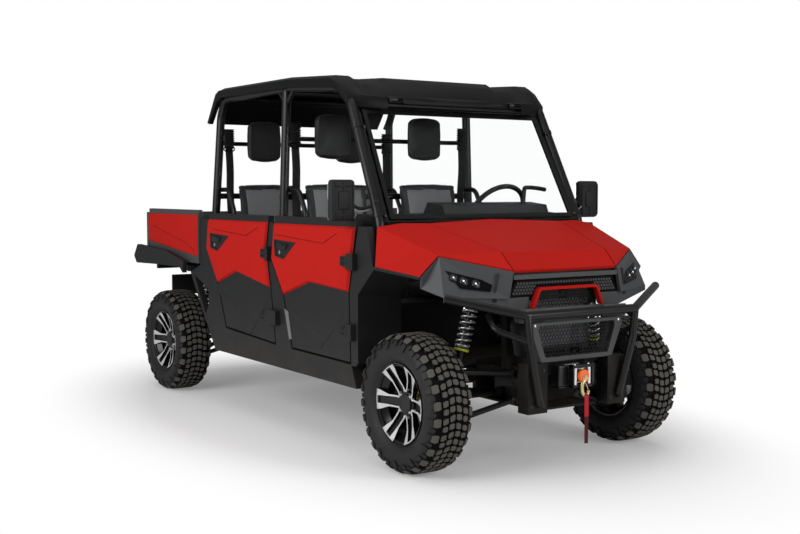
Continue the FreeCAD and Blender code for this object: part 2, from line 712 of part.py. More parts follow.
WHEEL_PLACES = {
    "front_right": (-size.track / 2, 0, False),
    "front_left": (size.track / 2, 0, True),
    "rear_right": (-size.track / 2, size.wheelbase, False),
    "rear_left": (size.track / 2, size.wheelbase, True),
}


def wheels():
    rubber = tyre()
    metal = fuse("RimWithHub", rim(), hub())
    for corner, (x_place, station, left) in WHEEL_PLACES.items():
        for kind, master in (("tyre", rubber), ("rim", metal)):
            name = f"{corner}_{kind}"
            node(name, moved(name + "_place", master, (x_place, station, size.tyre_radius), left))


def knuckles():
    front = moved("FrontKnuckle", knuckle("SteeredKnuckle", True), (-size.track / 2, 0, size.tyre_radius))
    node("front_right_knuckle", front)
    node("front_left_knuckle", mirrored(front))
    rear = moved(
        "RearKnuckle", knuckle("FixedKnuckle", False), (-size.track / 2, size.wheelbase, size.tyre_radius)
    )
    node("rear_knuckles", rear, mirrored(rear))


# Suspension of the right-hand front corner, repeated for the other three.

KINGPIN_X = size.track / 2 - size.kingpin_offset
SHOCK_X = KINGPIN_X - size.shock_inset
SHOCK_TOP_X = SHOCK_X - size.shock_lean


def arm(name, inner_z, side):
    """One wishbone: two bushings, two tubes and the ball-joint housing with its stud."""
    eye_edge = size.tyre_radius + side * (size.ball_rise + size.eye_height / 2)
    seat = eye_edge + side * size.pin_gap
    outer_z = eye_edge + side * (size.arm_tube + size.ball_drop)
    parts = []
    for end, sign in (("Front", -1), ("Rear", 1)):
        station = size.arm_spread * sign
        half = size.bush_length / 2
        parts.append(
            rod(
                name + end + "Bush", (-size.arm_x, station - half, inner_z),
                (-size.arm_x, station + half, inner_z), size.bush_radius
            )
        )
        parts.append(
            rod(
                name + end + "Tube", (-size.arm_x, station, inner_z), (-KINGPIN_X, 0, outer_z),
                size.arm_tube
            )
        )
    housing_end = seat + side * size.housing_height
    parts.append(
        rod(name + "Housing", (-KINGPIN_X, 0, seat), (-KINGPIN_X, 0, housing_end), size.eye_radius)
    )
    stud_end = size.tyre_radius + side * (size.ball_rise - size.eye_height / 2)
    parts.append(
        rod(name + "Stud", (-KINGPIN_X, 0, stud_end), (-KINGPIN_X, 0, housing_end), size.stud_radius)
    )
    return parts, outer_z


def corner_arms():
    low, _ = arm("LowArm", size.arm_low_z, -1)
    high, outer_z = arm("HighArm", size.arm_high_z, 1)
    share = (SHOCK_X - size.arm_x) / (KINGPIN_X - size.arm_x)
    bar_z = size.arm_high_z + (outer_z - size.arm_high_z) * share
    bar_rear = size.arm_spread * (1 - share)
    front = (-SHOCK_X, -size.shock_y - size.shock_eye, bar_z)
    high.append(rod("ShockBar", front, (-SHOCK_X, bar_rear, bar_z), size.shock_bar))
    return group("CornerArms", fuse("LowArmSolid", *low), fuse("HighArmSolid", *high)), bar_z


def coil(name, low, high):
    """A helical spring between its seats, its square wire clear of both."""
    start = vec(low)
    axis = vec(high) - start
    wire = val(size.spring_wire)
    inset = wire + val(size.spring_gap)
    height = axis.Length - 2 * inset
    radius = val(size.spring_radius) - wire
    steps = int(val(size.spring_turns)) * 10
    rings = []
    for index in range(steps + 1):
        turn = math.radians(36 * index)
        outward = Vector(math.cos(turn), math.sin(turn), 0)
        centre = outward * radius + Vector(0, 0, height * index / steps)
        rings.append(
            [
                centre + outward * wire, centre + Vector(0, 0, wire), centre - outward * wire,
                centre - Vector(0, 0, wire)
            ]
        )
    spring = facetted(rings)
    spring.Placement = Placement(start + axis.normalize() * inset, Rotation(Vector(0, 0, 1), axis))
    return solid(name, spring)


def corner_shock(bar_z):
    """Damper, spring seats and eyes, and the spring as its own piece."""
    low = (-SHOCK_X, -size.shock_y, bar_z + size.shock_bar + size.shock_eye)
    high = (-SHOCK_TOP_X, -size.shock_y, size.shock_top_z)

    def along(share):
        return tuple(as_dim(start) + (as_dim(end) - as_dim(start)) * share for start, end in zip(low, high))

    reach = math.dist([val(part) for part in low], [val(part) for part in high])
    seat_share = size.spring_seat / reach
    parts = []
    for name, centre in (("Low", low), ("High", high)):
        x_place, y_place, z_place = centre
        ends = [(x_place, y_place + size.shock_eye * sign, z_place) for sign in (-1, 1)]
        parts.append(rod("Shock" + name + "Eye", ends[0], ends[1], size.shock_eye))
    parts.append(rod("Damper", low, along(0.55), size.damper_radius))
    parts.append(rod("DamperRod", low, high, size.damper_rod))
    parts.append(
        rod("LowSeat", along(size.spring_low - seat_share), along(size.spring_low), size.spring_radius)
    )
    parts.append(
        rod("HighSeat", along(size.spring_high), along(size.spring_high + seat_share), size.spring_radius)
    )
    return fuse("CornerShock", *parts), coil(
        "CornerSpring", along(size.spring_low), along(size.spring_high)
    )


def four_corners(name, item):
    """The right-hand front piece at all four corners, turned end for end at the rear."""
    front = [item, mirrored(item)]
    rear = [
        moved(name + "Rear" + str(index), piece, (0, size.wheelbase, 0), half_turn=True) for index,
        piece in enumerate(front)
    ]
    return group(name, *front, *rear)


def half_shaft():
    """Drive shaft along X with a bellows at each end, the outer one round about the kingpin."""
    body = new_body("HalfShaft")
    inner = -size.drive_half
    joint = -KINGPIN_X
    radius = size.boot_radius
    turned(body, [
        (joint - radius * 0.84, 0), (joint - radius * 0.84, radius * 0.45),
        (joint - radius * 0.6, radius * 0.77),
        (joint - radius * 0.16, radius), (joint + radius * 0.4, radius),
        (joint + size.boot_length, size.shaft_radius),
        (inner - size.boot_length, size.shaft_radius), (
            inner - radius, radius
        ), (inner, radius), (inner, 0)])
    return moved("HalfShaftPlace", body, (0, 0, size.tyre_radius))


def suspension():
    arms, bar_z = corner_arms()
    shock, spring = corner_shock(bar_z)
    node("suspension_arms", four_corners("Arms", arms))
    node("shock_absorbers", four_corners("Shocks", shock))
    node("coil_springs", four_corners("Springs", spring))
    node("half_shafts", four_corners("Shafts", half_shaft()))


# Chassis

def axle_carrier(name, station, forward):
    """Cross plates that carry the wishbones, the shock towers and their bar, about one axle."""
    half = size.arm_spread
    thick = size.carrier_thick / 2
    parts = []
    for index, sign in enumerate((-1, 1)):
        middle = station + half * sign
        span = (-size.arm_x + size.bush_radius, size.arm_x - size.bush_radius)
        parts.append(
            box(
                f"{name}Plate{index}", span, (middle - thick, middle + thick),
                (size.carrier_low, size.carrier_high)
            )
        )
    shock_station = station + size.shock_y * forward
    tower = (shock_station - size.tower_width / 2, shock_station + size.tower_width / 2)
    bar_top = size.tower_top + size.tower_bar
    bar_half = SHOCK_TOP_X - size.shock_eye - 8
    for index, sign in enumerate((-1, 1)):
        low, high = sorted(
            (size.tower_x * sign - size.tower_width / 2, size.tower_x * sign + size.tower_width / 2),
            key=val
        )
        parts.append(box(f"{name}Tower{index}", (low, high), tower, (size.subframe_z, size.tower_top)))
        for cheek in (-1, 1):
            inner = shock_station + size.shock_eye * cheek
            outer = inner + size.clevis_thick * cheek
            near, far = sorted((inner, outer), key=val)
            inside, outside = sorted((bar_half * sign, (SHOCK_TOP_X + size.shock_eye) * sign), key=val)
            parts.append(
                box(
                    f"{name}Cheek{index}{cheek + 1}", (inside, outside), (near, far),
                    (size.tower_top, bar_top)
                )
            )
    bar_reach = (
        shock_station - size.shock_eye - size.clevis_thick,
        shock_station + size.shock_eye + size.clevis_thick
    )
    parts.append(box(name + "Bar", (-bar_half, bar_half), bar_reach, (size.tower_top, bar_top)))
    return parts


def side_pair(name, x_middle, width, y_range, z_range):
    low = x_middle - width / 2
    high = x_middle + width / 2
    return [
        box(name + "Left", (low, high), y_range, z_range),
        box(name + "Right", (-high, -low), y_range, z_range)
    ]


def cross_beam(name, half, middle, z_range):
    reach = (middle - size.cross_width / 2, middle + size.cross_width / 2)
    return box(name, (-half, half), reach, z_range)


def bed_carriers(rail_edge):
    """Lugs and pins of the bed's hinge, brackets for the rear flares and uprights for the rear panel."""
    parts = []
    lug_inner = rail_edge - size.hinge_lug
    bracket_top = outline["flare_shelf"]["low"][1]
    bracket_y = (size.bed_hinge_y - 55, size.bed_hinge_y - 25)
    axis_y = size.bed_hinge_y
    axis_z = size.bed_hinge_z
    for sign in (-1, 1):
        low, high = sorted((lug_inner * sign, rail_edge * sign), key=val)
        parts.append(
            rod(f"LugEye{sign + 1}", (low, axis_y, axis_z), (high, axis_y, axis_z), size.hinge_boss)
        )
        lug_y = (axis_y - 40, axis_y + size.hinge_boss)
        parts.append(
            box(f"Lug{sign + 1}", (low, high), lug_y, (size.bed_post_z - size.subframe_height, axis_z))
        )
        pin_low, pin_high = sorted((lug_inner * sign, (rail_edge + size.hinge_lug + 12) * sign), key=val)
        parts.append(
            rod(f"BedPin{sign + 1}", (pin_low, axis_y, axis_z), (pin_high, axis_y, axis_z), size.bed_pin)
        )
        low, high = sorted(((rail_edge - 10) * sign, (size.side_x - 20) * sign), key=val)
        parts.append(
            box(
                f"FlareBracket{sign + 1}", (low, high), bracket_y,
                (bracket_top - size.subframe_height, bracket_top)
            )
        )
        low, high = sorted(((size.rail_x - 20) * sign, (size.rail_x + 20) * sign), key=val)
        upright_y = (size.valance_y - 30, size.valance_y)
        parts.append(
            box(f"Upright{sign + 1}", (low, high), upright_y, (size.rail_z + 10, size.valance_high - 20))
        )
    return parts


def chassis():
    rail_top = size.rail_z + size.rail_height
    rail_edge = size.rail_x + size.rail_width / 2
    rear_start = size.wheelbase - size.arm_spread - size.carrier_thick
    parts = side_pair(
        "Rail", size.rail_x, size.rail_width, (size.rail_front, size.rail_rear_y), (size.rail_z, rail_top)
    )
    sub_x = size.subframe_x - size.subframe_width / 2
    sub_z = (size.subframe_z, size.subframe_z + size.subframe_height)
    parts += side_pair(
        "Front", sub_x, size.subframe_width, (size.subframe_front, size.subframe_rear), sub_z
    )
    parts += side_pair("Rear", sub_x, size.subframe_width, (rear_start, size.rail_rear_y), sub_z)
    for index, middle in enumerate(
        (
            size.rail_front, placed(760), placed(1312), placed(2100), size.wheelbase - 260,
            size.rail_rear_y - 40
        )
    ):
        parts.append(
            cross_beam(
                f"Cross{index}", rail_edge, as_dim(middle) + size.cross_width / 2, (size.rail_z, rail_top)
            )
        )
    parts += [cross_beam("NoseCross", size.plate_outer, size.subframe_front + size.cross_width / 2, sub_z)]
    parts += axle_carrier("Front", 0, -1)
    parts += axle_carrier("Rear", size.wheelbase, 1)
    post_z = (rail_top, size.bed_post_z)
    for index, station in enumerate((size.bed_post_y, size.bed_hinge_y - 30)):
        half = size.bed_post_width / 3
        parts += side_pair(
            f"BedPost{index}", size.rail_x, size.bed_post_width, (station - half, station + half), post_z
        )
        parts.append(
            cross_beam(
                f"BedCross{index}", rail_edge, station,
                (size.bed_post_z - size.subframe_height, size.bed_post_z)
            )
        )
    parts += bed_carriers(rail_edge)
    post_x = (size.subframe_x - 25, size.subframe_x)
    posts = []
    for sign in (-1, 1):
        low, high = sorted((post_x[0] * sign, post_x[1] * sign), key=val)
        posts.append(
            box(
                f"RadiatorPost{sign + 1}", (low, high), (size.radiator_front, size.radiator_rear),
                (size.subframe_z, size.radiator_low)
            )
        )
    parts += posts
    receiver = (size.rail_rear_y - 60, size.rail_rear_y + size.receiver_reach)
    middle = size.rail_z + size.rail_height / 2
    half = size.receiver_half
    parts.append(box("Receiver", (-half, half), receiver, (middle - half, middle + half)))
    skid_y = (size.plate_back, size.arm_spread + size.carrier_thick / 2)
    skid_z = (size.skid_z, size.skid_z + size.skid_thick)
    parts.append(box("FrontSkid", (-size.skid_half, size.skid_half), skid_y, skid_z))
    rear_skid = (size.wheelbase - skid_y[1], size.wheelbase + skid_y[1])
    parts.append(box("RearSkid", (-size.skid_half, size.skid_half), rear_skid, skid_z))
    bore_half = size.receiver_half - size.receiver_wall
    bore = box(
        "ReceiverBore", (-bore_half, bore_half), (size.rail_rear_y, receiver[1]),
        (middle - bore_half, middle + bore_half)
    )
    pin_y = size.rail_rear_y + size.receiver_reach / 2
    cross_pin = rod("ReceiverPinBore", (-half, pin_y, middle), (half, pin_y, middle), size.receiver_pin)
    node(
        "chassis_frame",
        cut("ChassisBored", fuse("ChassisSolid", *parts), group("ChassisBores", bore, cross_pin))
    )
    reach = (-size.arm_spread + size.carrier_thick / 2, size.arm_spread - size.carrier_thick / 2)
    blocks = []
    for name, station in (("Front", 0), ("Rear", size.wheelbase)):
        block = (station + reach[0], station + size.drive_rear)
        if name == "Rear":
            block = (station - size.drive_rear, station + reach[1])
        blocks.append(
            box(
                name + "Drive", (-size.drive_half, size.drive_half), block,
                (size.drive_low, size.drive_high)
            )
        )
    battery_low = size.floor_z + size.floor_thick
    battery_y = (
        size.front_seat_y + size.battery_inset, size.front_seat_y + size.battery_inset + size.battery_length
    )
    battery_z = (battery_low, battery_low + size.battery_height)
    node(
        "power_units", *blocks,
        box("Battery", (-size.battery_half, size.battery_half), battery_y, battery_z)
    )


def steering(dash):
    """Rack bar with its rod ends, the housing it slides in, the column and the steering wheel."""
    rack_z = size.tyre_radius + size.rack_rise
    y_place = size.steer_arm
    bar = [rod("RackBar", (-KINGPIN_X, y_place, rack_z), (KINGPIN_X, y_place, rack_z), size.rack_radius)]
    for index, sign in enumerate((-1, 1)):
        low = (KINGPIN_X * sign, y_place, rack_z - size.rod_end_height / 2)
        high = (KINGPIN_X * sign, y_place, rack_z + size.rod_end_height / 2)
        bar.append(rod(f"RodEnd{index}", low, high, size.rod_end_radius))
    node("steering_rack", fuse("Rack", *bar))
    half = size.rack_housing_half
    sleeve = rod("RackSleeve", (-half, y_place, rack_z), (half, y_place, rack_z), size.rack_housing)
    plate_y = size.arm_spread - size.carrier_thick / 2
    foot = box(
        "RackFoot", (-half, half), (y_place, plate_y),
        (rack_z - size.rack_radius, rack_z + size.rack_radius)
    )
    bore = rod(
        "RackBore", (-half, y_place, rack_z), (half, y_place, rack_z), size.rack_radius + size.running_gap
    )
    housing = cut("RackHousing", fuse("RackHousingSolid", sleeve, foot), bore)
    tilt = math.radians(val(size.wheel_tilt))
    axis = Vector(0, -math.cos(tilt), -math.sin(tilt))
    centre = Vector(val(size.wheel_x), val(size.wheel_y), val(size.wheel_z))
    grip = Part.makeTorus(val(size.wheel_rim_radius), val(size.wheel_grip), centre, axis)
    hub_start = centre - axis * (val(size.wheel_hub_height) / 2)
    parts = [Part.makeCylinder(val(size.wheel_hub), val(size.wheel_hub_height), hub_start, axis)]
    across = Vector(1, 0, 0)
    up = across.cross(axis)
    for degrees in (0, 90, 180):
        turn = math.radians(degrees)
        direction = across * math.cos(turn) + up * math.sin(turn)
        parts.append(
            Part.makeCylinder(val(size.wheel_grip) * 0.8, val(size.wheel_rim_radius), centre, direction)
        )
    node("steering_wheel", solid("SteeringWheel", grip.multiFuse(parts)))
    column_start = centre + axis * (val(size.wheel_hub_height) / 2 + val(size.pin_gap))
    column = Part.makeCylinder(val(size.column_radius), val(size.column_length), column_start, axis)
    node("steering_housings", housing, cut("ColumnTrim", solid("SteeringColumn", column), dash))


# Cabin

def dashboard(tubes):
    """Dash with its cowl, trimmed by the pillars, and the brackets and pins of the hood's hinge."""
    dash = new_body("Dash")
    pad(dash, "side", -size.dash_half, 2 * size.dash_half, corners_of("dashboard"))
    pad(dash, "side", -size.hump_right, size.hump_right + size.hump_left, corners_of("cowl_hump"))
    parts = [dash]
    for sign in (-1, 1):
        outer = size.hood_ear_x + size.hinge_lug + 6
        low, high = sorted((outer * sign, (outer + size.hinge_lug) * sign), key=val)
        reach = (size.hood_hinge_y - size.hood_eye, size.hood_hinge_y + 100)
        heights = (size.hood_hinge_z - size.hood_eye, size.hood_hinge_z + 6)
        parts.append(box(f"HoodBracket{sign + 1}", (low, high), reach, heights))
        low, high = sorted((size.hood_ear_x * sign, (outer + 2) * sign), key=val)
        ends = [(part, size.hood_hinge_y, size.hood_hinge_z) for part in (low, high)]
        parts.append(rod(f"HoodPin{sign + 1}", ends[0], ends[1], size.pin_radius))
    trimmed = cut("DashTrim", fuse("DashSolid", *parts), group("DashTools", *tubes))
    node("dashboard", trimmed)
    return trimmed


def seat_base(name, station):
    half = size.seat_base_half
    wall = size.seat_base_wall
    floor_top = size.floor_z + size.floor_thick
    outer = box(
        name, (-half, half), (station, station + size.seat_base_length), (floor_top, size.seat_base_top)
    )
    inner = box(
        name + "Inside", (-half + wall, half - wall),
        (station + wall, station + size.seat_base_length - wall), (floor_top, size.seat_base_top - wall)
    )
    return cut(name + "Shell", outer, inner)


def seat_back(name, station):
    """A leaning back that stands on the cushion's rear edge."""
    body = new_body(name)
    low = size.seat_base_top + size.cushion_height + 2 * size.soft_gap
    start = station + size.back_y - size.back_depth
    corners = [
        (start, low), (start + size.back_depth, low),
        (start + size.back_depth + size.back_lean, size.back_top),
        (start + size.back_lean + 30, size.back_top),
    ]
    pad(body, "side", size.seat_x - size.back_half, 2 * size.back_half, corners)
    return body


def headrest(name, bar_y):
    body = new_body(name)
    half = size.head_half
    chamfer = size.head_chamfer
    low = size.head_z - size.head_height / 2
    high = size.head_z + size.head_height / 2
    rear = bar_y - size.head_bar - size.soft_gap
    corners = [
        (size.seat_x - half, low + chamfer), (size.seat_x - half + chamfer, low),
        (size.seat_x + half - chamfer, low),
        (size.seat_x + half, low + chamfer), (size.seat_x + half, high - chamfer),
        (size.seat_x + half - chamfer, high),
        (size.seat_x - half + chamfer, high), (size.seat_x - half, high - chamfer),
    ]
    pad(body, "front", rear - size.head_depth, size.head_depth, corners)
    return body


def cabin():
    floor = box(
        "Floor", (-size.floor_half, size.floor_half), (size.floor_front, size.floor_rear_y),
        (size.floor_z, size.floor_z + size.floor_thick)
    )
    node("floor_pan", floor)
    node("seat_bases", seat_base("FrontBase", size.front_seat_y), seat_base("RearBase", size.rear_seat_y))
    cushions = []
    backs = []
    heads = []
    for name, station, bar_y in (
        ("Front", size.front_seat_y, size.b_post_y + size.head_bar_back),
        ("Rear", size.rear_seat_y, size.c_belt_y + 20)
    ):
        start = station - size.cushion_front
        low = size.seat_base_top + size.soft_gap
        x_range = (size.seat_x - size.cushion_half, size.seat_x + size.cushion_half)
        cushions.append(
            box(
                name + "Cushion", x_range, (start, start + size.cushion_length),
                (low, low + size.cushion_height)
            )
        )
        backs.append(seat_back(name + "Back", station))
        heads.append(headrest(name + "Head", bar_y))
    node("seat_cushions", *[pair(item.Name + "Pair", item) for item in cushions])
    node("seat_backs", *[pair(item.Name + "Pair", item) for item in backs])
    node("headrests", *[pair(item.Name + "Pair", item) for item in heads])


def seat_belts(tubes):
    """A strap beside each outer seat, from the base to its guide on the pillar."""
    belts = []
    for name, station, guide_y in (
        ("Front", size.b_post_y - 18, size.b_post_y), ("Rear", size.c_top_y - 25, size.c_top_y + 10)
    ):
        half = size.belt_width / 2
        strap = new_body(name + "Strap")
        pad(strap, "front", station, size.belt_thick, [
            (-size.belt_low_x - half, size.seat_base_top), (-size.belt_low_x + half, size.seat_base_top),
            (-size.belt_high_x + half, size.belt_top), (-size.belt_high_x - half, size.belt_top)])
        guide_x = (-size.roof_x - 10, -size.belt_high_x + half + 4)
        guide = box(
            name + "Guide", guide_x, (station - 2, guide_y), (size.belt_top - 16, size.belt_top + 8)
        )
        belts.append(
            pair(
                name + "Belts",
                cut(
                    name + "Belt", fuse(name + "BeltSolid", strap, guide), group(name + "BeltTools", *tubes)
                )
            )
        )
    node("seat_belts", *belts)


# Sections of the roof from front to rear: station, half width and height of the top.
ROOF_SECTIONS = (
    (560, 440, 1802), (622, 650, 1816), (700, 658, 1890), (762, 668, 1922), (1226, 672, 1947),
    (2087, 672, 1949),
    (2160, 666, 1922))


def roof_section(half, top):
    """Rounded lip at each side, a shallow valley inside it and the broad middle deck."""
    skirt = top - size.roof_skirt
    under = top - size.roof_shell
    valley = half - size.lobe_width - size.valley_run
    valley_end = valley - size.valley_width
    outer = [
        (half, skirt), (half, top - size.roof_edge_drop), (half - size.roof_edge_run, top),
        (half - size.lobe_width, top),
        (valley, top - size.valley_drop), (valley_end, top - size.valley_drop), (
            valley_end - size.valley_run, top
        )]
    inner = [(half - size.skirt_wall, skirt), (half - size.skirt_wall, under)]
    return outer + [(-run, rise) for run, rise in reversed(outer)] + [
        (-run, rise) for run, rise in inner
    ] + list(reversed(inner))


def roof(tubes):
    """Moulded roof with fins down the rear pillars and two lamp notches in its front edge."""
    body = new_body("Roof")
    sections = [
        (placed(place), roof_section(as_dim(half), as_dim(top))) for place, half, top in ROOF_SECTIONS
    ]
    loft(body, "front", sections)
    for x_low in (-size.fin_half, size.fin_inner):
        pad(body, "side", x_low, size.fin_half - size.fin_inner, corners_of("roof_fin"))
    notches = []
    for sign in (-1, 1):
        middle = size.notch_x * sign
        reach = (middle - size.notch_width / 2, middle + size.notch_width / 2)
        notches.append(
            box(
                f"Notch{sign + 1}", reach, (placed(size.notch_front), placed(size.notch_rear)),
                (size.notch_low, size.notch_high)
            )
        )
    node("roof_panel", cut("RoofTrim", body, group("RoofTools", *tubes, *notches)))


def cage():
    hoop_points = [
        (-size.foot_x, size.a_foot_y, size.floor_z + size.floor_thick),
        (-size.foot_x, size.a_foot_y, size.a_knee_z),
        (-size.belt_x, size.a_belt_y, size.belt_z), (-size.roof_x, size.a_top_y, size.a_top_z),
        (-size.roof_x, size.rail_start_y, size.rail_high_z - 35),
        (-size.roof_x, size.rail_middle_y, size.rail_high_z),
        (-size.roof_x, size.rail_end_y, size.rail_high_z - 7), (-size.roof_x, size.c_top_y, size.c_top_z),
        (-size.belt_x, size.c_belt_y, size.belt_z),
        (-size.belt_x, size.c_belt_y, size.floor_z + size.floor_thick),
    ]
    hoop = bent_tube("HoopTube", hoop_points, size.cage_tube, size.cage_bend)
    post = bent_tube("PostTube", [
        (-size.foot_x, size.b_post_y, size.floor_z + size.floor_thick + size.soft_gap),
        (-size.belt_x, size.b_post_y, size.belt_z),
        (-size.roof_x, size.b_post_y, size.rail_high_z)], size.cage_tube, size.cage_bend)
    fork = (-size.roof_x, size.b_post_y, size.rail_high_z - size.gusset_drop)
    gussets = []
    for sign in (-1, 1):
        end = (-size.roof_x, size.b_post_y + size.gusset_run * sign, size.rail_high_z)
        gussets.append(rod(f"PostGusset{sign + 1}", fork, end, size.gusset_tube))
    side = fuse("SideHoop", hoop, post, *gussets)
    sides = pair("SideHoops", side)
    node("cage_side_hoops", sides)
    bars = [
        rod(
            "FrontHeader", (-size.roof_x, size.a_top_y + 4, size.a_top_z),
            (size.roof_x, size.a_top_y + 4, size.a_top_z), size.cage_tube * 0.8
        ),
        rod(
            "MiddleHeader", (-size.roof_x, size.b_post_y, size.rail_high_z - 1),
            (size.roof_x, size.b_post_y, size.rail_high_z - 1), size.cage_tube * 0.9
        ),
        rod(
            "RearHeader", (-size.roof_x, size.rail_end_y - 30, size.rail_high_z - 7),
            (size.roof_x, size.rail_end_y - 30, size.rail_high_z - 7), size.cage_tube * 0.9
        ),
    ]
    back_low = size.seat_base_top + size.cushion_height + 2 * size.soft_gap
    lean = size.back_lean * (size.brace_z - back_low) / (size.back_top - back_low)
    for name, station in (("Middle", size.front_seat_y), ("Rear", size.rear_seat_y)):
        brace_y = station + size.back_y + lean + size.brace_radius + 2
        bars.append(
            rod(
                name + "Brace", (-size.belt_x, brace_y, size.brace_z), (size.belt_x, brace_y, size.brace_z),
                size.brace_radius
            )
        )
    for name, post_y, bar_y in (
        ("Front", size.b_post_y, size.b_post_y + size.head_bar_back),
        ("Rear", size.c_belt_y - 24, size.c_belt_y + 20)
    ):
        x_post = size.roof_x + 8
        bars.append(bent_tube(name + "HeadBar", [
            (-x_post, post_y, size.head_z - 14), (-x_post + 90, bar_y, size.head_z - 14),
            (x_post - 90, bar_y, size.head_z - 14), (x_post, post_y, size.head_z - 14)], size.head_bar, 60))
    crossbars = cut("CrossbarSolids", group("Crossbars", *bars), sides)
    guards = []
    for name, post_y in (("Front", size.b_post_y), ("Rear", size.c_belt_y)):
        guards.append(bent_tube(name + "Guard", [
            (-size.guard_x, post_y, size.guard_top_z),
            (-size.guard_x, post_y - size.guard_reach * 0.6, size.guard_top_z),
            (-size.guard_x, post_y - size.guard_reach, size.guard_top_z - size.guard_drop),
            (
                -size.guard_x, post_y - size.guard_reach, size.floor_z + size.floor_thick
            )], size.guard_tube, 60))
    trimmed = [cut(item.Name + "Trim", pair(item.Name + "Pair", item), sides) for item in guards]
    node("cage_crossbars", crossbars, *trimmed)
    return sides, crossbars


def windscreen(tubes):
    """Glass on its frame, the frame trimmed by the pillars it is held by."""
    rise = size.glass_top_z - size.glass_low_z
    run = size.glass_top_y - size.glass_low_y
    slope = math.hypot(val(rise), val(run))
    along = Vector(0, val(run) / slope, val(rise) / slope)
    normal = Vector(0, val(rise) / slope, -val(run) / slope)

    def corners(grow, side, depth):
        grow = val(grow)
        spots = []
        for half, y_place, z_place, end in (
            (size.glass_low_half, size.glass_low_y, size.glass_low_z, -1),
            (size.glass_top_half, size.glass_top_y, size.glass_top_z, 1),
        ):
            base = Vector(0, val(y_place), val(z_place)) + along * (grow * end) + normal * val(depth)
            wide = Vector(val(half) + val(side), 0, 0)
            spots += [base - wide, base + wide] if end < 0 else [base + wide, base - wide]
        return spots

    def slab(name, grow, side, depth, thick):
        return folded_sheet(name, [corners(grow, side, depth)], normal * val(thick))

    node("windscreen", slab("Glass", 0, 0, 0, size.glass_thick))
    outer = slab("FrameOuter", size.frame_grow, size.frame_side, size.glass_thick, size.frame_thick)
    inner = slab("FrameInner", -size.frame_bar, -size.frame_bar, 0, 4 * size.frame_thick)
    node("windscreen_frame", cut("ScreenFrame", outer, group("ScreenTools", inner, *tubes)))


def door(name, corners, skin_corners, middle):
    shell = new_body(name + "Shell")
    pad(shell, "side", -size.side_x, size.door_depth, corners)
    skin = bevel_skin(
        name + "Skin", -size.side_x, -size.side_x - size.skin, size.skin_bevel, skin_corners, middle
    )
    return shell, skin


def hinges(name, y_place):
    """The door's half: two barrels bored for the pin, each with a leaf that reaches back over the door."""
    parts = []
    bores = []
    for index, z_place in enumerate((size.hinge_high_z, size.hinge_low_z)):
        reach = (z_place - size.hinge_half, z_place + size.hinge_half)
        low = (-size.hinge_x, y_place, reach[0])
        high = (-size.hinge_x, y_place, reach[1])
        parts.append(rod(f"{name}Barrel{index}", low, high, size.hinge_barrel))
        leaf_x = (-size.hinge_x - size.hinge_leaf, -size.side_x)
        parts.append(box(f"{name}Leaf{index}", leaf_x, (y_place, y_place + size.hinge_leaf_length), reach))
        bores.append(rod(f"{name}Bore{index}", low, high, size.pin_radius + size.running_gap))
    return parts, bores


def fixed_hinges(name, y_place, feet):
    """The post's half: barrels above and below with the pin between them, and a leaf back to the post."""
    parts = []
    for index, (z_place, foot) in enumerate(zip((size.hinge_high_z, size.hinge_low_z), feet)):
        low = z_place - size.fixed_half
        high = z_place + size.fixed_half
        gap = size.hinge_half + size.pin_gap
        for end, (start, stop) in enumerate(((low, z_place - gap), (z_place + gap, high))):
            parts.append(
                rod(
                    f"{name}Fixed{index}{end}", (-size.hinge_x, y_place, start),
                    (-size.hinge_x, y_place, stop), size.hinge_barrel
                )
            )
        parts.append(
            rod(
                f"{name}Pin{index}", (-size.hinge_x, y_place, low), (-size.hinge_x, y_place, high),
                size.pin_radius
            )
        )
        plate_x = (-size.hinge_x - size.hinge_barrel, -size.hinge_x - size.hinge_barrel + size.hinge_leaf)
        foot_start, foot_end = (placed(part) for part in foot)
        parts.append(
            box(f"{name}Foot{index}", (plate_x[0], -size.side_x), (foot_start, foot_end), (low, high))
        )
        plate_end = y_place - size.hinge_barrel - 3
        parts.append(box(f"{name}Plate{index}", plate_x, (foot_start, plate_end), (low, high)))
        for end, (start, stop) in enumerate(((low, z_place - gap), (z_place + gap, high))):
            parts.append(box(f"{name}Tongue{index}{end}", plate_x, (foot_start, y_place), (start, stop)))
    return parts


def doors():
    for row, hinge_y in (("front", size.front_hinge_y), ("rear", size.rear_hinge_y)):
        middle = (hinge_y + size.skin_middle_run, size.skin_middle_rise)
        shell, skin = door(
            row.title() + "Door", corners_of(row + "_door"), corners_of(row + "_skin"), middle
        )
        pocket(skin, "side", -size.side_x - size.skin, size.handle_depth, corners_of(row + "_handle"))
        leaves, bores = hinges(row.title() + "Hinge", hinge_y)
        hinged = fuse(row.title() + "DoorHinged", shell, *leaves)
        bare = cut(row.title() + "DoorBare", hinged, group(row.title() + "DoorCuts", *bores))
        node(f"{row}_right_door", bare)
        node(f"{row}_left_door", mirrored(bare))
        trimmed = cut(row.title() + "SkinTrim", skin, group(row.title() + "Leaves", *leaves))
        node(f"{row}_right_door_skin", trimmed)
        node(f"{row}_left_door_skin", mirrored(trimmed))


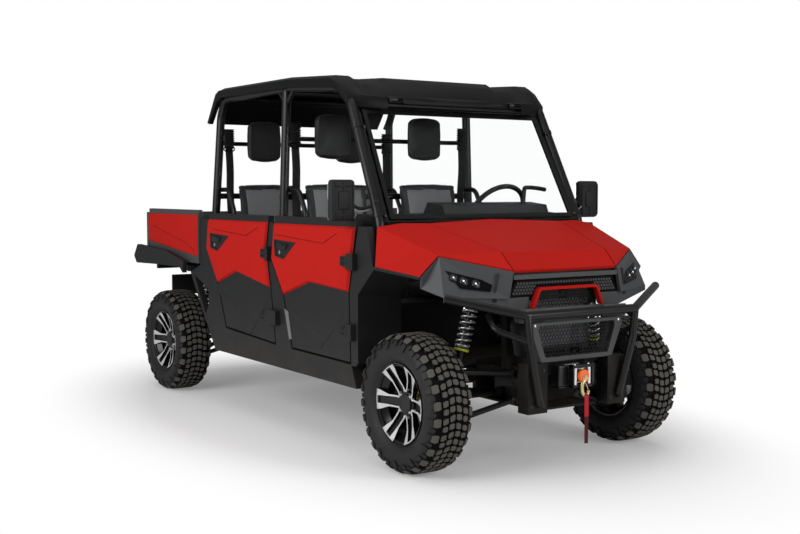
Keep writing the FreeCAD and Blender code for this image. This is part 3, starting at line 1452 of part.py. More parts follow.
def body_sides(tubes):
    body = new_body("SideSill")
    pad(body, "side", -size.side_x, size.side_x - size.sill_inner, corners_of("sill"))
    for name in ("front_post", "middle_post", "rear_post"):
        pad(body, "side", -size.side_x, size.door_depth, corners_of(name))
    pocket(body, "side", -size.side_x, size.door_depth, corners_of("quarter_opening"))
    front = fixed_hinges("FrontFixed", size.front_hinge_y, ((382, 412), (398, 434)))
    rear = fixed_hinges("RearFixed", size.rear_hinge_y, ((1292, 1306), (1196, 1250)))
    liner = new_body("ArchLiner")
    pad(liner, "side", -size.side_x, size.liner_width, corners_of("arch_liner"))
    node(
        "body_sides",
        pair(
            "BodySides",
            fuse(
                "SideWithHinges", body, cut("LinerTrim", liner, group("LinerTools", *tubes)), *front, *rear
            )
        )
    )
    return liner


def left(name):
    return spot[name]


def right(name):
    x_place, y_place, z_place = spot[name]
    return (-x_place, y_place, z_place)


def hood(liner):
    """The lid between the two creases, with its hinge ears, and the fenders outside it."""
    facets = []
    for side, sign in ((left, 1), (right, -1)):

        def drawn_in(name):
            x_place, y_place, z_place = side(name)
            return (x_place - size.seam * sign, y_place, z_place)

        facets.append([side("lip_middle"), drawn_in("lip_corner"), drawn_in("brow_corner")])
        facets.append([side("lip_middle"), drawn_in("brow_corner"), side("brow_middle")])
        facets.append([side("brow_middle"), drawn_in("brow_corner"), drawn_in("hood_rear")])
        facets.append([side("brow_middle"), drawn_in("hood_rear"), side("hood_rear_middle")])
    sheet = folded_sheet("HoodSheet", facets, (0, 8, -14))
    ears = []
    bores = []
    for sign in (-1, 1):
        low, high = sorted((size.hood_ear_x * sign, (size.hood_ear_x + size.hinge_lug) * sign), key=val)
        reach = (size.hood_hinge_y - size.hood_eye, size.hood_hinge_y + size.hood_eye)
        ears.append(
            box(f"HoodEar{sign + 1}", (low, high), reach, (size.hood_hinge_z, size.hood_hinge_z + 26))
        )
        ends = [(part, size.hood_hinge_y, size.hood_hinge_z) for part in (low, high)]
        ears.append(rod(f"HoodEye{sign + 1}", ends[0], ends[1], size.hood_eye))
        bores.append(rod(f"HoodBore{sign + 1}", ends[0], ends[1], size.pin_radius + size.running_gap))
    node("hood", cut("Hood", fuse("HoodSolid", sheet, *ears), group("HoodBores", *bores)))
    fender = [
        ["lip_corner", "fender_nose", "brow_corner"], ["brow_corner", "fender_nose", "fender_top"],
        ["brow_corner", "fender_top", "hood_rear"], ["fender_nose", "fender_rear_top", "fender_top"],
        ["fender_nose", "fender_front_low", "fender_rear_low"],
        ["fender_nose", "fender_rear_low", "fender_rear_top"],
    ]
    sheet = folded_sheet("FenderSheet", [[right(name) for name in facet] for facet in fender], (0, 6, -10))
    trimmed = cut("Fender", sheet, liner)
    node("front_fenders", pair("Fenders", trimmed))
    return trimmed


def fascia(fender, liner):
    """Cheeks with their lamps let in, and the bar under the hood's lip."""
    facets = [
        ["fascia_lip", "fascia_top", "fascia_inner"], ["fascia_top", "fascia_low", "fascia_inner"],
        ["fascia_top", "fascia_ear", "fascia_tip"], ["fascia_top", "fascia_tip", "fascia_low"],
    ]
    cheek = folded_sheet("Cheek", [[right(name) for name in facet] for facet in facets], (5, 16, 0))
    lamp_facet = [
        right(name) for name in ("lamp_outer_top", "lamp_inner_top", "lamp_low", "lamp_outer_low")
    ]
    lamp = folded_sheet("Lamp", [lamp_facet[:3], [lamp_facet[0], lamp_facet[2], lamp_facet[3]]], (8, 44, 0))
    bar = box(
        "FasciaBar", (-size.lip_half, size.lip_half), (size.bar_front, size.grille_y + size.grille_thick),
        (size.grille_top_z, size.bar_top)
    )
    node(
        "front_fascia",
        fuse(
            "FasciaSolid",
            pair("CheekPair", cut("CheekCut", cheek, group("CheekTools", lamp, fender, liner))), bar
        )
    )
    node("headlights", pair("Lamps", lamp))


def bed():
    """Tub with its hinge ears, outer skins, tailgate, and the fixed flares below it."""
    x_out = size.bed_x
    inside = x_out - size.bed_wall
    body = new_body("BedTub")
    floor_top = size.bed_floor_z + size.bed_floor_thick
    length = size.bed_rear_y - size.bed_front_y
    pad(body, "front", size.bed_front_y, length, [
        (-x_out, size.bed_floor_z), (x_out, size.bed_floor_z), (x_out, size.bed_top_z),
        (inside, size.bed_top_z),
        (inside, floor_top), (-inside, floor_top), (-inside, size.bed_top_z), (-x_out, size.bed_top_z)])
    pad(
        body, "front", size.bed_front_y, size.bed_head_wall,
        rectangle(-x_out, x_out, size.bed_floor_z, size.bed_top_z)
    )
    rail_x = x_out - size.bed_rail_inset
    for sign in (-1, 1):
        low, high = sorted((rail_x * sign, (rail_x - size.bed_rail) * sign), key=val)
        pad(
            body, "front", size.bed_front_y, length,
            rectangle(low, high, size.bed_top_z - 4, size.bed_rail_top)
        )
    ears = []
    bores = []
    lug_inner = size.rail_x + size.rail_width / 2 - size.hinge_lug
    for sign in (-1, 1):
        low, high = sorted(
            ((lug_inner + size.hinge_lug + 4) * sign, (lug_inner + 2 * size.hinge_lug + 4) * sign), key=val
        )
        reach = (size.bed_hinge_y - size.hinge_boss, size.bed_hinge_y + size.hinge_boss)
        ears.append(box(f"BedEar{sign + 1}", (low, high), reach, (size.bed_hinge_z, size.bed_floor_z)))
        ends = [(part, size.bed_hinge_y, size.bed_hinge_z) for part in (low, high)]
        ears.append(rod(f"BedBoss{sign + 1}", ends[0], ends[1], size.hinge_boss))
        bores.append(rod(f"BedBore{sign + 1}", ends[0], ends[1], size.bed_pin + size.running_gap))
    gate_pins = []
    gate_tools = []
    for sign in (-1, 1):
        low, high = sorted((size.gate_lug_x * sign, (size.gate_lug_x + size.gate_lug) * sign), key=val)
        eye_z = (size.gate_hinge_z - size.gate_eye, size.gate_hinge_z + size.gate_eye)
        gate_pins.append(
            box(f"GateLug{sign + 1}", (low, high), (size.bed_rear_y - 20, size.gate_hinge_y), eye_z)
        )
        ends = [(part, size.gate_hinge_y, size.gate_hinge_z) for part in (low, high)]
        gate_pins.append(rod(f"GateEye{sign + 1}", ends[0], ends[1], size.gate_eye))
        notch_y = (size.bed_rear_y, size.bed_rear_y + 2 * size.tailgate_thick)
        notch = (low - 3, high + 3)
        gate_tools.append(
            box(
                f"GateNotch{sign + 1}", notch, notch_y,
                (size.bed_floor_z, size.gate_hinge_z + size.gate_notch)
            )
        )
        ends = [
            (part, size.gate_hinge_y, size.gate_hinge_z) for part in (
                low - size.gate_lug, high + size.gate_lug
            )
        ]
        gate_pins.append(rod(f"GatePin{sign + 1}", ends[0], ends[1], size.pin_radius))
        gate_tools.append(rod(f"GateBore{sign + 1}", ends[0], ends[1], size.pin_radius + size.running_gap))
    ears += gate_pins
    node("bed_tub", cut("TubBored", fuse("TubSolid", body, *ears), group("BedBores", *bores)))
    middle = (size.bed_front_y + length / 2, (size.bed_floor_z + size.bed_top_z) / 2)
    skin = bevel_skin(
        "BedSkin", -x_out, -x_out - size.bed_skin, size.bed_skin_bevel, corners_of("bed_skin"), middle
    )
    node("bed_panels", pair("BedSkins", skin))
    gate_y = size.bed_rear_y + size.tailgate_gap
    gate = box(
        "Tailgate", (-x_out, x_out), (gate_y, gate_y + size.tailgate_thick),
        (size.bed_floor_z, size.bed_top_z)
    )
    node("tailgate", cut("TailgateBored", gate, group("GateTools", *gate_tools)))
    flare = new_body("Flare")
    pad(flare, "side", -size.flare_x, size.flare_x - size.flare_inner, corners_of("rear_flare"))
    pad(flare, "side", -size.flare_inner, size.flare_inner - size.shelf_inner, corners_of("flare_shelf"))
    panel_y = (size.valance_y, size.valance_y + size.valance_thick)
    panel = box(
        "Valance", (-size.valance_half, size.valance_half), panel_y, (size.valance_low, size.valance_high)
    )
    node("rear_flares", pair("Flares", flare), panel)
    lamp = box(
        "TailLamp", (-size.valance_half + 30, -size.valance_half + 170), (panel_y[1], panel_y[1] + 18),
        (size.valance_low + 55, size.valance_high - 20)
    )
    node("tail_lamps", pair("TailLamps", lamp))


def hexagon_cells(name, corners, place_y, length):
    """Hexagonal bores in staggered rows, all inside a convex outline with a margin left round them."""
    spots = [(val(run), val(rise)) for run, rise in corners]
    pitch = val(size.cell_pitch)
    radius = (pitch - val(size.cell_wall)) / math.sqrt(3)
    margin = val(size.cell_margin)

    def clear_of_edges(run, rise):
        for (start_run, start_rise), (end_run, end_rise) in zip(spots, spots[1:] + spots[:1]):
            edge_run = end_run - start_run
            edge_rise = end_rise - start_rise
            away = (
                edge_run * (rise - start_rise) - edge_rise * (run - start_run)
            ) / math.hypot(edge_run, edge_rise)
            if away < radius + margin:
                return False
        return True

    low = min(rise for run, rise in spots)
    rows = int((max(rise for run, rise in spots) - low) / (pitch * math.sqrt(3) / 2)) + 1
    reach = int(max(run for run, rise in spots) / pitch) + 1
    cells = []
    for row in range(rows):
        rise = low + radius + margin + row * pitch * math.sqrt(3) / 2
        for column in range(-reach, reach + 1):
            run = (column + (row % 2) / 2) * pitch
            if clear_of_edges(run, rise):
                turns = [math.radians(60 * index + 30) for index in range(6)]
                ring = [
                    Vector(
                        run + radius * math.cos(turn), val(place_y), rise + radius * math.sin(turn)
                    ) for turn in turns
                ]
                cells.append(
                    Part.Face(Part.makePolygon(ring + ring[:1])).extrude(Vector(0, val(length), 0))
                )
    return solid(name, Part.Compound(cells))


def grille_mesh(name, outline_name, place_y):
    sheet = new_body(name)
    corners = both_ways(corners_of(outline_name))
    pad(sheet, "front", place_y, size.mesh_thick, corners)
    return cut(name + "Cells", sheet, hexagon_cells(name + "Bores", corners, place_y, size.mesh_thick))


def nose():
    """Grilles and their surrounds, the radiator, the tubular guard and the winch with its hook and strap."""
    panel = new_body("GrillePanel")
    pad(panel, "front", size.grille_y, size.grille_thick, both_ways([
        (outline["upper_mesh"]["low"][0] + 6, outline["upper_mesh"]["low"][1]),
        (outline["upper_mesh"]["low"][0] + 6, size.grille_low_z), (size.grille_low_half, size.grille_low_z),
        (size.grille_top_half, size.grille_top_z)]))
    pocket(panel, "front", size.grille_y, size.grille_thick, both_ways(corners_of("upper_mesh")))
    node("grille_panel", panel)
    upper = grille_mesh("UpperMesh", "upper_mesh", size.grille_y + size.mesh_thick)
    lower = grille_mesh("LowerMesh", "lower_mesh", size.bezel_y + 4 * size.mesh_thick)
    node("grille_meshes", upper, lower)
    surround = new_body("Surround")
    around = corners_of("surround")
    pad(surround, "front", size.surround_y, size.surround_depth, both_ways(around[:3]) + [
        (-around[4][0], around[4][1]), (-around[3][0], around[3][1]), around[3], around[4]])
    node("grille_surround", surround)
    bezel = new_body("Bezel")
    pad(bezel, "front", size.bezel_y, size.bezel_depth, both_ways(corners_of("lower_bezel")))
    pocket(bezel, "front", size.bezel_y, size.bezel_depth, both_ways(corners_of("lower_mesh")))
    node("lower_bezel", bezel)
    half = size.radiator_half
    node(
        "radiator",
        box(
            "Radiator", (-half, half), (size.radiator_front, size.radiator_rear),
            (size.radiator_low, size.radiator_high)
        )
    )
    main = [right("guard_end"), right("guard_corner"), left("guard_corner"), left("guard_end")]
    bars = [bent_tube("GuardBar", main, size.guard_radius, size.guard_bend)]
    leg_spots = [right("guard_corner"), right("guard_knee"), right("guard_foot")]
    leg = bent_tube("GuardLeg", leg_spots, size.guard_radius * 0.95, size.guard_bend)
    brace_spots = [right("brace_back"), right("brace_knee"), right("brace_front")]
    brace = bent_tube("GuardBrace", brace_spots, size.guard_radius * 0.7, size.guard_bend)
    plate_y = (size.plate_front, size.plate_back)
    plate = box(
        "BumperPlate", (-size.plate_outer, -size.plate_inner), plate_y, (size.plate_low, size.plate_high)
    )
    bars += [leg, mirrored(leg), brace, mirrored(brace), plate, mirrored(plate)]
    node("bumper_guard", fuse("Guard", *bars))
    winch = new_body("Winch")
    pad(winch, "front", size.winch_front, size.plate_back - size.winch_front, rectangle(
        -size.winch_half, size.winch_half, size.winch_low, size.winch_high))
    lead = rectangle(-size.fairlead_half, size.fairlead_half, size.winch_low, size.winch_high)
    pad(winch, "front", size.fairlead_y, size.winch_front - size.fairlead_y, lead)
    gap = size.fairlead_gap
    slot = rectangle(
        -size.fairlead_half + gap, size.fairlead_half - gap, size.winch_low + gap, size.winch_high - gap
    )
    pocket(winch, "front", size.fairlead_y, size.winch_front - size.fairlead_y, slot)
    rope_z = (size.winch_low + size.winch_high) / 2
    stopper = rod(
        "Stopper", (0, size.winch_front, rope_z), (0, -size.front_overhang, rope_z), size.stopper_radius
    )
    node("winch", fuse("WinchSolid", winch, stopper))
    hook_y = -size.front_overhang + size.stopper_radius
    reach = size.hook_radius
    top = rope_z - size.stopper_radius
    hook = bent_tube("HookBar", [
        (0, hook_y, rope_z), (0, hook_y, top - 10), (-reach, hook_y, top - 26),
        (-reach, hook_y, size.hook_z + 8),
        (0, hook_y, size.hook_z), (reach, hook_y, size.hook_z + 12), (
            reach * 0.8, hook_y, size.hook_z + 34
        )], size.hook_wire, 14)
    node("winch_hook", cut("Hook", hook, stopper))
    strap_y = hook_y - size.hook_wire
    strap_top = size.hook_z + 8
    node(
        "hook_strap",
        box(
            "Strap", (-size.strap_width / 2, size.strap_width / 2), (strap_y - size.strap_thick, strap_y),
            (strap_top - size.strap_length, strap_top)
        )
    )


def mirrors(tubes):
    head = new_body("MirrorHead")
    half_width = size.mirror_half_width
    half_height = size.mirror_half_height
    chamfer = 24
    corners = []
    for width_sign, height_sign, first in ((1, -1, True), (1, 1, False), (-1, 1, True), (-1, -1, False)):
        run = -size.mirror_x + half_width * width_sign
        rise = size.mirror_z + half_height * height_sign
        near = (run - chamfer * width_sign, rise)
        far = (run, rise - chamfer * height_sign)
        corners += [near, far] if first else [far, near]
    pad(head, "front", size.mirror_y - size.mirror_depth / 2, size.mirror_depth, corners)
    stalk = bent_tube("MirrorStalk", [
        (-size.mirror_x, size.mirror_y, size.mirror_z), (-size.mirror_x, size.mirror_y, size.mirror_z - 40),
        (-size.stalk_x, size.stalk_y, size.mirror_z - 27)], size.mirror_arm, 30)
    node(
        "mirrors",
        pair("Mirrors", cut("Mirror", fuse("MirrorSolid", head, stalk), group("MirrorTools", *tubes)))
    )


def check():
    """Stops when a feature failed or a piece has no valid shape."""
    DOC.recompute()
    failed = [item.Name for item in DOC.Objects if {"Invalid", "Error"} & set(item.State)]
    if failed:
        raise RuntimeError("failed features: " + ", ".join(failed))
    for piece in NODES:
        if piece.Shape.isNull() or not piece.Shape.isValid() or not piece.Shape.Solids:
            raise RuntimeError("no valid solid in " + piece.Label)


def write():
    os.makedirs("parts", exist_ok=True)
    for piece in NODES:
        piece.Shape.exportStep(f"parts/{piece.Label}.step")
        print(piece.Label, len(piece.Shape.Solids), "solids", round(piece.Shape.Volume / 1e6, 2), "litres")


wheels()
knuckles()
suspension()
chassis()
cage_tubes = cage()
steering(dashboard(cage_tubes))
cabin()
seat_belts(cage_tubes)
roof(cage_tubes)
windscreen(cage_tubes)
doors()
arch_liner = body_sides(cage_tubes)
fascia(hood(arch_liner), arch_liner)
bed()
nose()
mirrors(cage_tubes)
check()
write()
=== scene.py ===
"""Looks of the four-door side-by-side: a finish for every piece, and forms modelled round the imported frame.

Metres, +Z up, the nose towards -Y and the vehicle's right-hand side towards -X. Sizes are written in
millimetres, and stations are counted rearwards from the front axle, as in a workshop drawing.
"""

import json
import math

import bmesh
import bpy
import numpy as np
from mathutils import Matrix, Vector

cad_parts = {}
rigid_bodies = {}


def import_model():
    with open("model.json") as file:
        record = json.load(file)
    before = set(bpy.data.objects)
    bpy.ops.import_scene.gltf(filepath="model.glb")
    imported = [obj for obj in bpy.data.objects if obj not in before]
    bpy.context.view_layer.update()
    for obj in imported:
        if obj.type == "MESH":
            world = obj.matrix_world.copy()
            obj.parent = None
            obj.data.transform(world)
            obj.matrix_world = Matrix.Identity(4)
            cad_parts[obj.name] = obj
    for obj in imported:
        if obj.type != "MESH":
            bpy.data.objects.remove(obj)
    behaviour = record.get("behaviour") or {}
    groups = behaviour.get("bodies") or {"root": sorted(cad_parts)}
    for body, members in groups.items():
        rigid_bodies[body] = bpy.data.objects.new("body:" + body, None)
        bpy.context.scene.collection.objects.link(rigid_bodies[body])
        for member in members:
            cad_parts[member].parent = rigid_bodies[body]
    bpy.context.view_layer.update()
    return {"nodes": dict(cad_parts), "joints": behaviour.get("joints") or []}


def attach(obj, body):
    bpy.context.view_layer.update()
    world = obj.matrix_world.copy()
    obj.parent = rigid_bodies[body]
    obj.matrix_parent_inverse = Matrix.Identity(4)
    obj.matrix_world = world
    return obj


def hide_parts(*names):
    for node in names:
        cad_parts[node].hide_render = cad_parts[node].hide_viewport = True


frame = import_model()

MM = 0.001
CORNERS = ("front_right", "front_left", "rear_right", "rear_left")
JOINTS = {joint["name"]: joint for joint in frame["joints"]}
FRONT_AXLE = Vector(JOINTS["front_right_wheel_spin"]["pos_m"])
ACROSS = (1, 0, 0)
TO_RIGHT = (-1, 0, 0)
TO_REAR = (0, 1, 0)
TO_NOSE = (0, -1, 0)
UPWARD = (0, 0, 1)


def at(x_place, y_place, z_place):
    """A point given in millimetres, its station counted from the front axle."""
    return Vector((x_place * MM, FRONT_AXLE.y + y_place * MM, z_place * MM))


# Shader groups

def new_group(name, inputs, outputs):
    """An empty shader group with named sockets, and its input and output nodes."""
    tree = bpy.data.node_groups.new(name, "ShaderNodeTree")
    for label, kind, value in inputs:
        socket = tree.interface.new_socket(name=label, in_out="INPUT", socket_type="NodeSocket" + kind)
        if value is not None:
            socket.default_value = value
    for label, kind in outputs:
        tree.interface.new_socket(name=label, in_out="OUTPUT", socket_type="NodeSocket" + kind)
    return tree, tree.nodes.new("NodeGroupInput"), tree.nodes.new("NodeGroupOutput")


def add_node(tree, kind, **settings):
    """A node with its properties set, and its inputs given as numbers or linked from sockets."""
    links = settings.pop("inputs", {})
    item = tree.nodes.new(kind)
    for name, value in settings.items():
        setattr(item, name, value)
    for key, value in links.items():
        if isinstance(value, bpy.types.NodeSocket):
            tree.links.new(value, item.inputs[key])
        else:
            item.inputs[key].default_value = value
    return item


def calc(tree, operation, *values, clamp=False):
    """The result of an operation on numbers or sockets, as a socket."""
    item = add_node(
        tree, "ShaderNodeMath", operation=operation, use_clamp=clamp, inputs=dict(enumerate(values)))
    return item.outputs[0]


def noise(tree, place, size, detail):
    """A noise pattern over a place, as a value."""
    item = add_node(tree, "ShaderNodeTexNoise", inputs={"Vector": place, "Scale": size, "Detail": detail})
    return item.outputs["Fac"]


def own_place(tree):
    """The place on the object in its own coordinates, as the sockets X, Y and Z."""
    place = add_node(tree, "ShaderNodeTexCoord").outputs["Object"]
    return add_node(tree, "ShaderNodeSeparateXYZ", inputs={0: place}).outputs


def tone_group():
    """Slow and fine changes of a finish over the surface: one tone for its colour and one for its gloss."""
    tree, entry, leave = new_group(
        "Surface tone",
        [
            ("Size", "Float", 3.0), ("Fine size", "Float", 60.0), ("Colour", "Color", None),
            ("Spread", "Float", 0.1)],
        [("Colour", "Color"), ("Gloss shift", "Float")])
    given = entry.outputs
    place = add_node(tree, "ShaderNodeTexCoord").outputs["Object"]
    slow = noise(tree, place, given["Size"], 3.0)
    fine = noise(tree, place, given["Fine size"], 4.0)
    centred = calc(tree, "SUBTRACT", calc(tree, "ADD", slow, fine), 1.0)
    swing = calc(tree, "MULTIPLY", centred, given["Spread"])
    factor = calc(tree, "ADD", swing, 1.0)
    scaled = add_node(
        tree, "ShaderNodeVectorMath", operation="SCALE", inputs={0: given["Colour"], "Scale": factor})
    tree.links.new(scaled.outputs[0], leave.inputs["Colour"])
    tree.links.new(swing, leave.inputs["Gloss shift"])
    return tree


def grain_group():
    """Moulded or leather grain as a height: small rounded cells over a fine noise."""
    tree, entry, leave = new_group(
        "Moulded grain",
        [("Cell size", "Float", 500.0), ("Noise size", "Float", 1400.0), ("Cells", "Float", 0.6)],
        [("Height", "Float")])
    given = entry.outputs
    place = add_node(tree, "ShaderNodeTexCoord").outputs["Object"]
    cells = add_node(tree, "ShaderNodeTexVoronoi", inputs={"Vector": place, "Scale": given["Cell size"]})
    fine = noise(tree, place, given["Noise size"], 2.0)
    height = add_node(
        tree, "ShaderNodeMix", data_type="FLOAT",
        inputs={0: given["Cells"], 2: fine, 3: cells.outputs["Distance"]})
    tree.links.new(height.outputs[0], leave.inputs["Height"])
    return tree


def dust_group():
    """Road dust that lies low on the vehicle and on faces that look up."""
    tree, entry, leave = new_group(
        "Road dust",
        [("Amount", "Float", 0.1), ("Clean height", "Float", 0.6), ("Patch size", "Float", 9.0)],
        [("Mask", "Float")])
    given = entry.outputs
    geometry = add_node(tree, "ShaderNodeNewGeometry")
    place = add_node(tree, "ShaderNodeSeparateXYZ", inputs={0: geometry.outputs["Position"]})
    facing = add_node(tree, "ShaderNodeSeparateXYZ", inputs={0: geometry.outputs["Normal"]})
    low = add_node(
        tree, "ShaderNodeMapRange",
        inputs={"Value": place.outputs["Z"], "From Min": given["Clean height"], "From Max": 0.0})
    upward = add_node(
        tree, "ShaderNodeMapRange", inputs={"Value": facing.outputs["Z"], "From Min": -0.4, "To Min": 0.35})
    patches = noise(tree, geometry.outputs["Position"], given["Patch size"], 6.0)
    both = calc(tree, "MULTIPLY", low.outputs[0], upward.outputs[0])
    mask = calc(tree, "MULTIPLY", calc(tree, "MULTIPLY", both, patches), given["Amount"], clamp=True)
    tree.links.new(mask, leave.inputs["Mask"])
    return tree


def new_material(name):
    """A material, its node tree and its main shader."""
    material = bpy.data.materials.new(name)
    material.use_nodes = True
    return material, material.node_tree, material.node_tree.nodes["Principled BSDF"]


TONE = tone_group()
GRAIN = grain_group()
DUST = dust_group()
DUST_COLOUR = (0.16, 0.13, 0.1, 1.0)
GRAIN_DEPTH = 0.0006


def finish(
        name, colour, roughness, spread=0.12, grain=0.0, cell=500.0, dust=0.0, clean_height=0.6,
        bump_from=None, **sockets):
    """A material: its colour and gloss vary slightly, dust gathers low down, a grain lifts the surface."""
    material, tree, shader = new_material(name)
    tone = add_node(
        tree, "ShaderNodeGroup", node_tree=TONE, inputs={"Colour": (*colour, 1.0), "Spread": spread})
    base = tone.outputs["Colour"]
    if dust:
        mask = add_node(
            tree, "ShaderNodeGroup", node_tree=DUST, inputs={"Amount": dust, "Clean height": clean_height})
        mixed = add_node(
            tree, "ShaderNodeMix", data_type="RGBA",
            inputs={0: mask.outputs["Mask"], 6: base, 7: DUST_COLOUR})
        base = mixed.outputs[2]
    tree.links.new(base, shader.inputs["Base Color"])
    gloss = calc(tree, "ADD", tone.outputs["Gloss shift"], roughness, clamp=True)
    tree.links.new(gloss, shader.inputs["Roughness"])
    bump = None
    if grain:
        cells = add_node(
            tree, "ShaderNodeGroup", node_tree=GRAIN, inputs={"Cell size": cell, "Noise size": cell * 2.6})
        bump = add_node(
            tree, "ShaderNodeBump",
            inputs={"Height": cells.outputs["Height"], "Strength": grain, "Distance": GRAIN_DEPTH})
    if bump_from:
        height, strength, depth = bump_from(tree)
        before = {"Normal": bump.outputs["Normal"]} if bump else {}
        bump = add_node(
            tree, "ShaderNodeBump",
            inputs={"Height": height, "Strength": strength, "Distance": depth, **before})
    if bump:
        tree.links.new(bump.outputs["Normal"], shader.inputs["Normal"])
    for socket, value in sockets.items():
        shader.inputs[socket.replace("_", " ")].default_value = value
    return material


def ringed_wall(tree):
    """Concentric moulding rings on a tyre's wall, by the distance from the axle."""
    place = own_place(tree)
    flat = add_node(tree, "ShaderNodeCombineXYZ", inputs={"X": place["Y"], "Y": place["Z"]})
    radius = add_node(tree, "ShaderNodeVectorMath", operation="LENGTH", inputs={0: flat.outputs[0]})
    ridges = calc(tree, "SINE", calc(tree, "MULTIPLY", radius.outputs["Value"], 520.0))
    return ridges, 0.25, 0.0008


def woven(tree):
    """The ribs of a flat webbing."""
    ribs = calc(tree, "SINE", calc(tree, "MULTIPLY", own_place(tree)["Z"], 2600.0))
    return ribs, 0.5, 0.0006


RED_PAINT = finish(
    "red_paint", (0.42, 0.0145, 0.011), 0.5, spread=0.05, dust=0.15, clean_height=0.7, IOR=1.06)
CHARCOAL = finish(
    "charcoal_plastic", (0.044, 0.0455, 0.048), 0.5, grain=0.35, cell=620.0, dust=0.4, clean_height=0.75,
    Specular_IOR_Level=0.4)
SILL_PLASTIC = finish(
    "sill_plastic", (0.011, 0.0115, 0.0125), 0.55, grain=0.5, cell=520.0, dust=0.5, clean_height=0.7,
    Specular_IOR_Level=0.22)
ROOF_PLASTIC = finish(
    "roof_plastic", (0.0045, 0.0047, 0.0052), 0.45, grain=0.4, cell=700.0, Specular_IOR_Level=0.12)
FRAME_COAT = finish(
    "frame_powder_coat", (0.0035, 0.0036, 0.004), 0.34, grain=0.25, cell=1500.0, dust=0.2,
    Specular_IOR_Level=0.32)
CHASSIS_COAT = finish(
    "chassis_coat", (0.0035, 0.0035, 0.0038), 0.5, grain=0.3, cell=1200.0, dust=0.4, clean_height=0.8,
    Specular_IOR_Level=0.12)
TYRE_RUBBER = finish(
    "tyre_rubber", (0.0068, 0.0072, 0.0078), 0.6, spread=0.25, grain=0.4, cell=900.0, bump_from=ringed_wall,
    Specular_IOR_Level=0.35)
LUG_RUBBER = finish(
    "lug_rubber", (0.078, 0.071, 0.061), 0.76, spread=0.4, grain=0.5, cell=700.0, Specular_IOR_Level=0.3)
# On the tyre this darker, duller rubber is painted shade on the groove floors between the blocks.
GROOVE_RUBBER = finish(
    "groove_rubber", (0.0035, 0.0035, 0.0035), 0.85, grain=0.4, cell=700.0, Specular_IOR_Level=0.1)
RIM_BLACK = finish("rim_gloss_black", (0.003, 0.003, 0.0033), 0.22, spread=0.1, Specular_IOR_Level=0.35)
RIM_SILVER = finish("rim_machined_face", (0.58, 0.58, 0.59), 0.34, spread=0.06, Metallic=0.35)
DARK_CAP = finish("wheel_cap_plastic", (0.013, 0.0135, 0.014), 0.5, grain=0.2, Specular_IOR_Level=0.3)
ZINC_GOLD = finish("zinc_gold", (0.72, 0.58, 0.28), 0.34, spread=0.25, Metallic=0.75)
CAST_IRON = finish(
    "cast_iron", (0.03, 0.029, 0.0275), 0.6, spread=0.3, grain=0.8, cell=420.0, dust=0.5, Metallic=0.5)
STEEL = finish("bare_steel", (0.42, 0.42, 0.43), 0.34, spread=0.2, Metallic=1.0)
CHROME = finish("roller_chrome", (0.8, 0.8, 0.82), 0.14, spread=0.05, Metallic=0.85)
SPRING_PAINT = finish("spring_paint", (0.42, 0.43, 0.45), 0.22, spread=0.1, Metallic=0.7, Coat_Weight=0.2)
DAMPER_BODY = finish("damper_body", (0.012, 0.012, 0.013), 0.3, spread=0.15, Metallic=0.5)
BATTERY_CASE = finish("battery_case", (0.02, 0.021, 0.022), 0.5, grain=0.3, dust=0.4)
RADIATOR_FINS = finish("radiator_fins", (0.15, 0.153, 0.16), 0.36, spread=0.4, Metallic=0.7)
SEAT_BLACK = finish(
    "seat_vinyl_black", (0.009, 0.0093, 0.0102), 0.5, grain=0.8, cell=420.0, Sheen_Weight=0.08,
    Specular_IOR_Level=0.35)
SEAT_GREY = finish(
    "seat_vinyl_grey", (0.15, 0.153, 0.157), 0.55, grain=0.8, cell=420.0, Sheen_Weight=0.1,
    Specular_IOR_Level=0.35)
BELT_WEB = finish("belt_webbing", (0.007, 0.007, 0.0075), 0.7, bump_from=woven, Specular_IOR_Level=0.3)
RED_WEB = finish("red_webbing", (0.42, 0.006, 0.02), 0.65, bump_from=woven, Specular_IOR_Level=0.3)
LENS_BLACK = finish("lamp_smoked_lens", (0.002, 0.002, 0.0024), 0.14, Specular_IOR_Level=0.12)
TAIL_RED = finish("tail_lens_red", (0.32, 0.008, 0.01), 0.15, Coat_Weight=0.7, Coat_Roughness=0.04)
GRIP_RUBBER = finish(
    "grip_rubber", (0.007, 0.007, 0.0073), 0.6, grain=0.7, cell=500.0, Specular_IOR_Level=0.3)
WINCH_CASE = finish("winch_case", (0.006, 0.006, 0.0065), 0.35, grain=0.2)
ORANGE_RUBBER = finish("stopper_orange", (0.9, 0.15, 0.02), 0.5, grain=0.3)
ROPE_GREY = finish("rope_grey", (0.06, 0.06, 0.063), 0.6, spread=0.3, grain=0.8, cell=900.0)
ADJUSTER_YELLOW = finish("adjuster_yellow", (0.42, 0.46, 0.02), 0.4, grain=0.2)
# Dark red for the painted shadow line under the creases of the red panels.
RED_CREASE_SHADOW = finish("red_seam", (0.06, 0.003, 0.0025), 0.7, Specular_IOR_Level=0.1)
# A much darker red for the strap's lower end.
RED_TAIL = finish("red_webbing_worn", (0.07, 0.003, 0.008), 0.75, bump_from=woven, Specular_IOR_Level=0.3)
LAMP_GLASS = finish("lamp_projector", (0.07, 0.073, 0.08), 0.06, spread=0.05, Metallic=0.9)
# A softly glowing white: a painted highlight on each headlamp projector, not a lit lamp.
PAINTED_HIGHLIGHT_WHITE = finish(
    "lamp_spot", (0.95, 0.96, 1.0), 0.2, spread=0.02, Emission_Color=(0.9, 0.95, 1.0, 1.0),
    Emission_Strength=0.7)
SATIN_GREY = finish("satin_grey", (0.13, 0.132, 0.136), 0.45, grain=0.2)
MIRROR_GLASS = finish("mirror_glass", (0.8, 0.82, 0.84), 0.03, spread=0.02, Metallic=1.0)


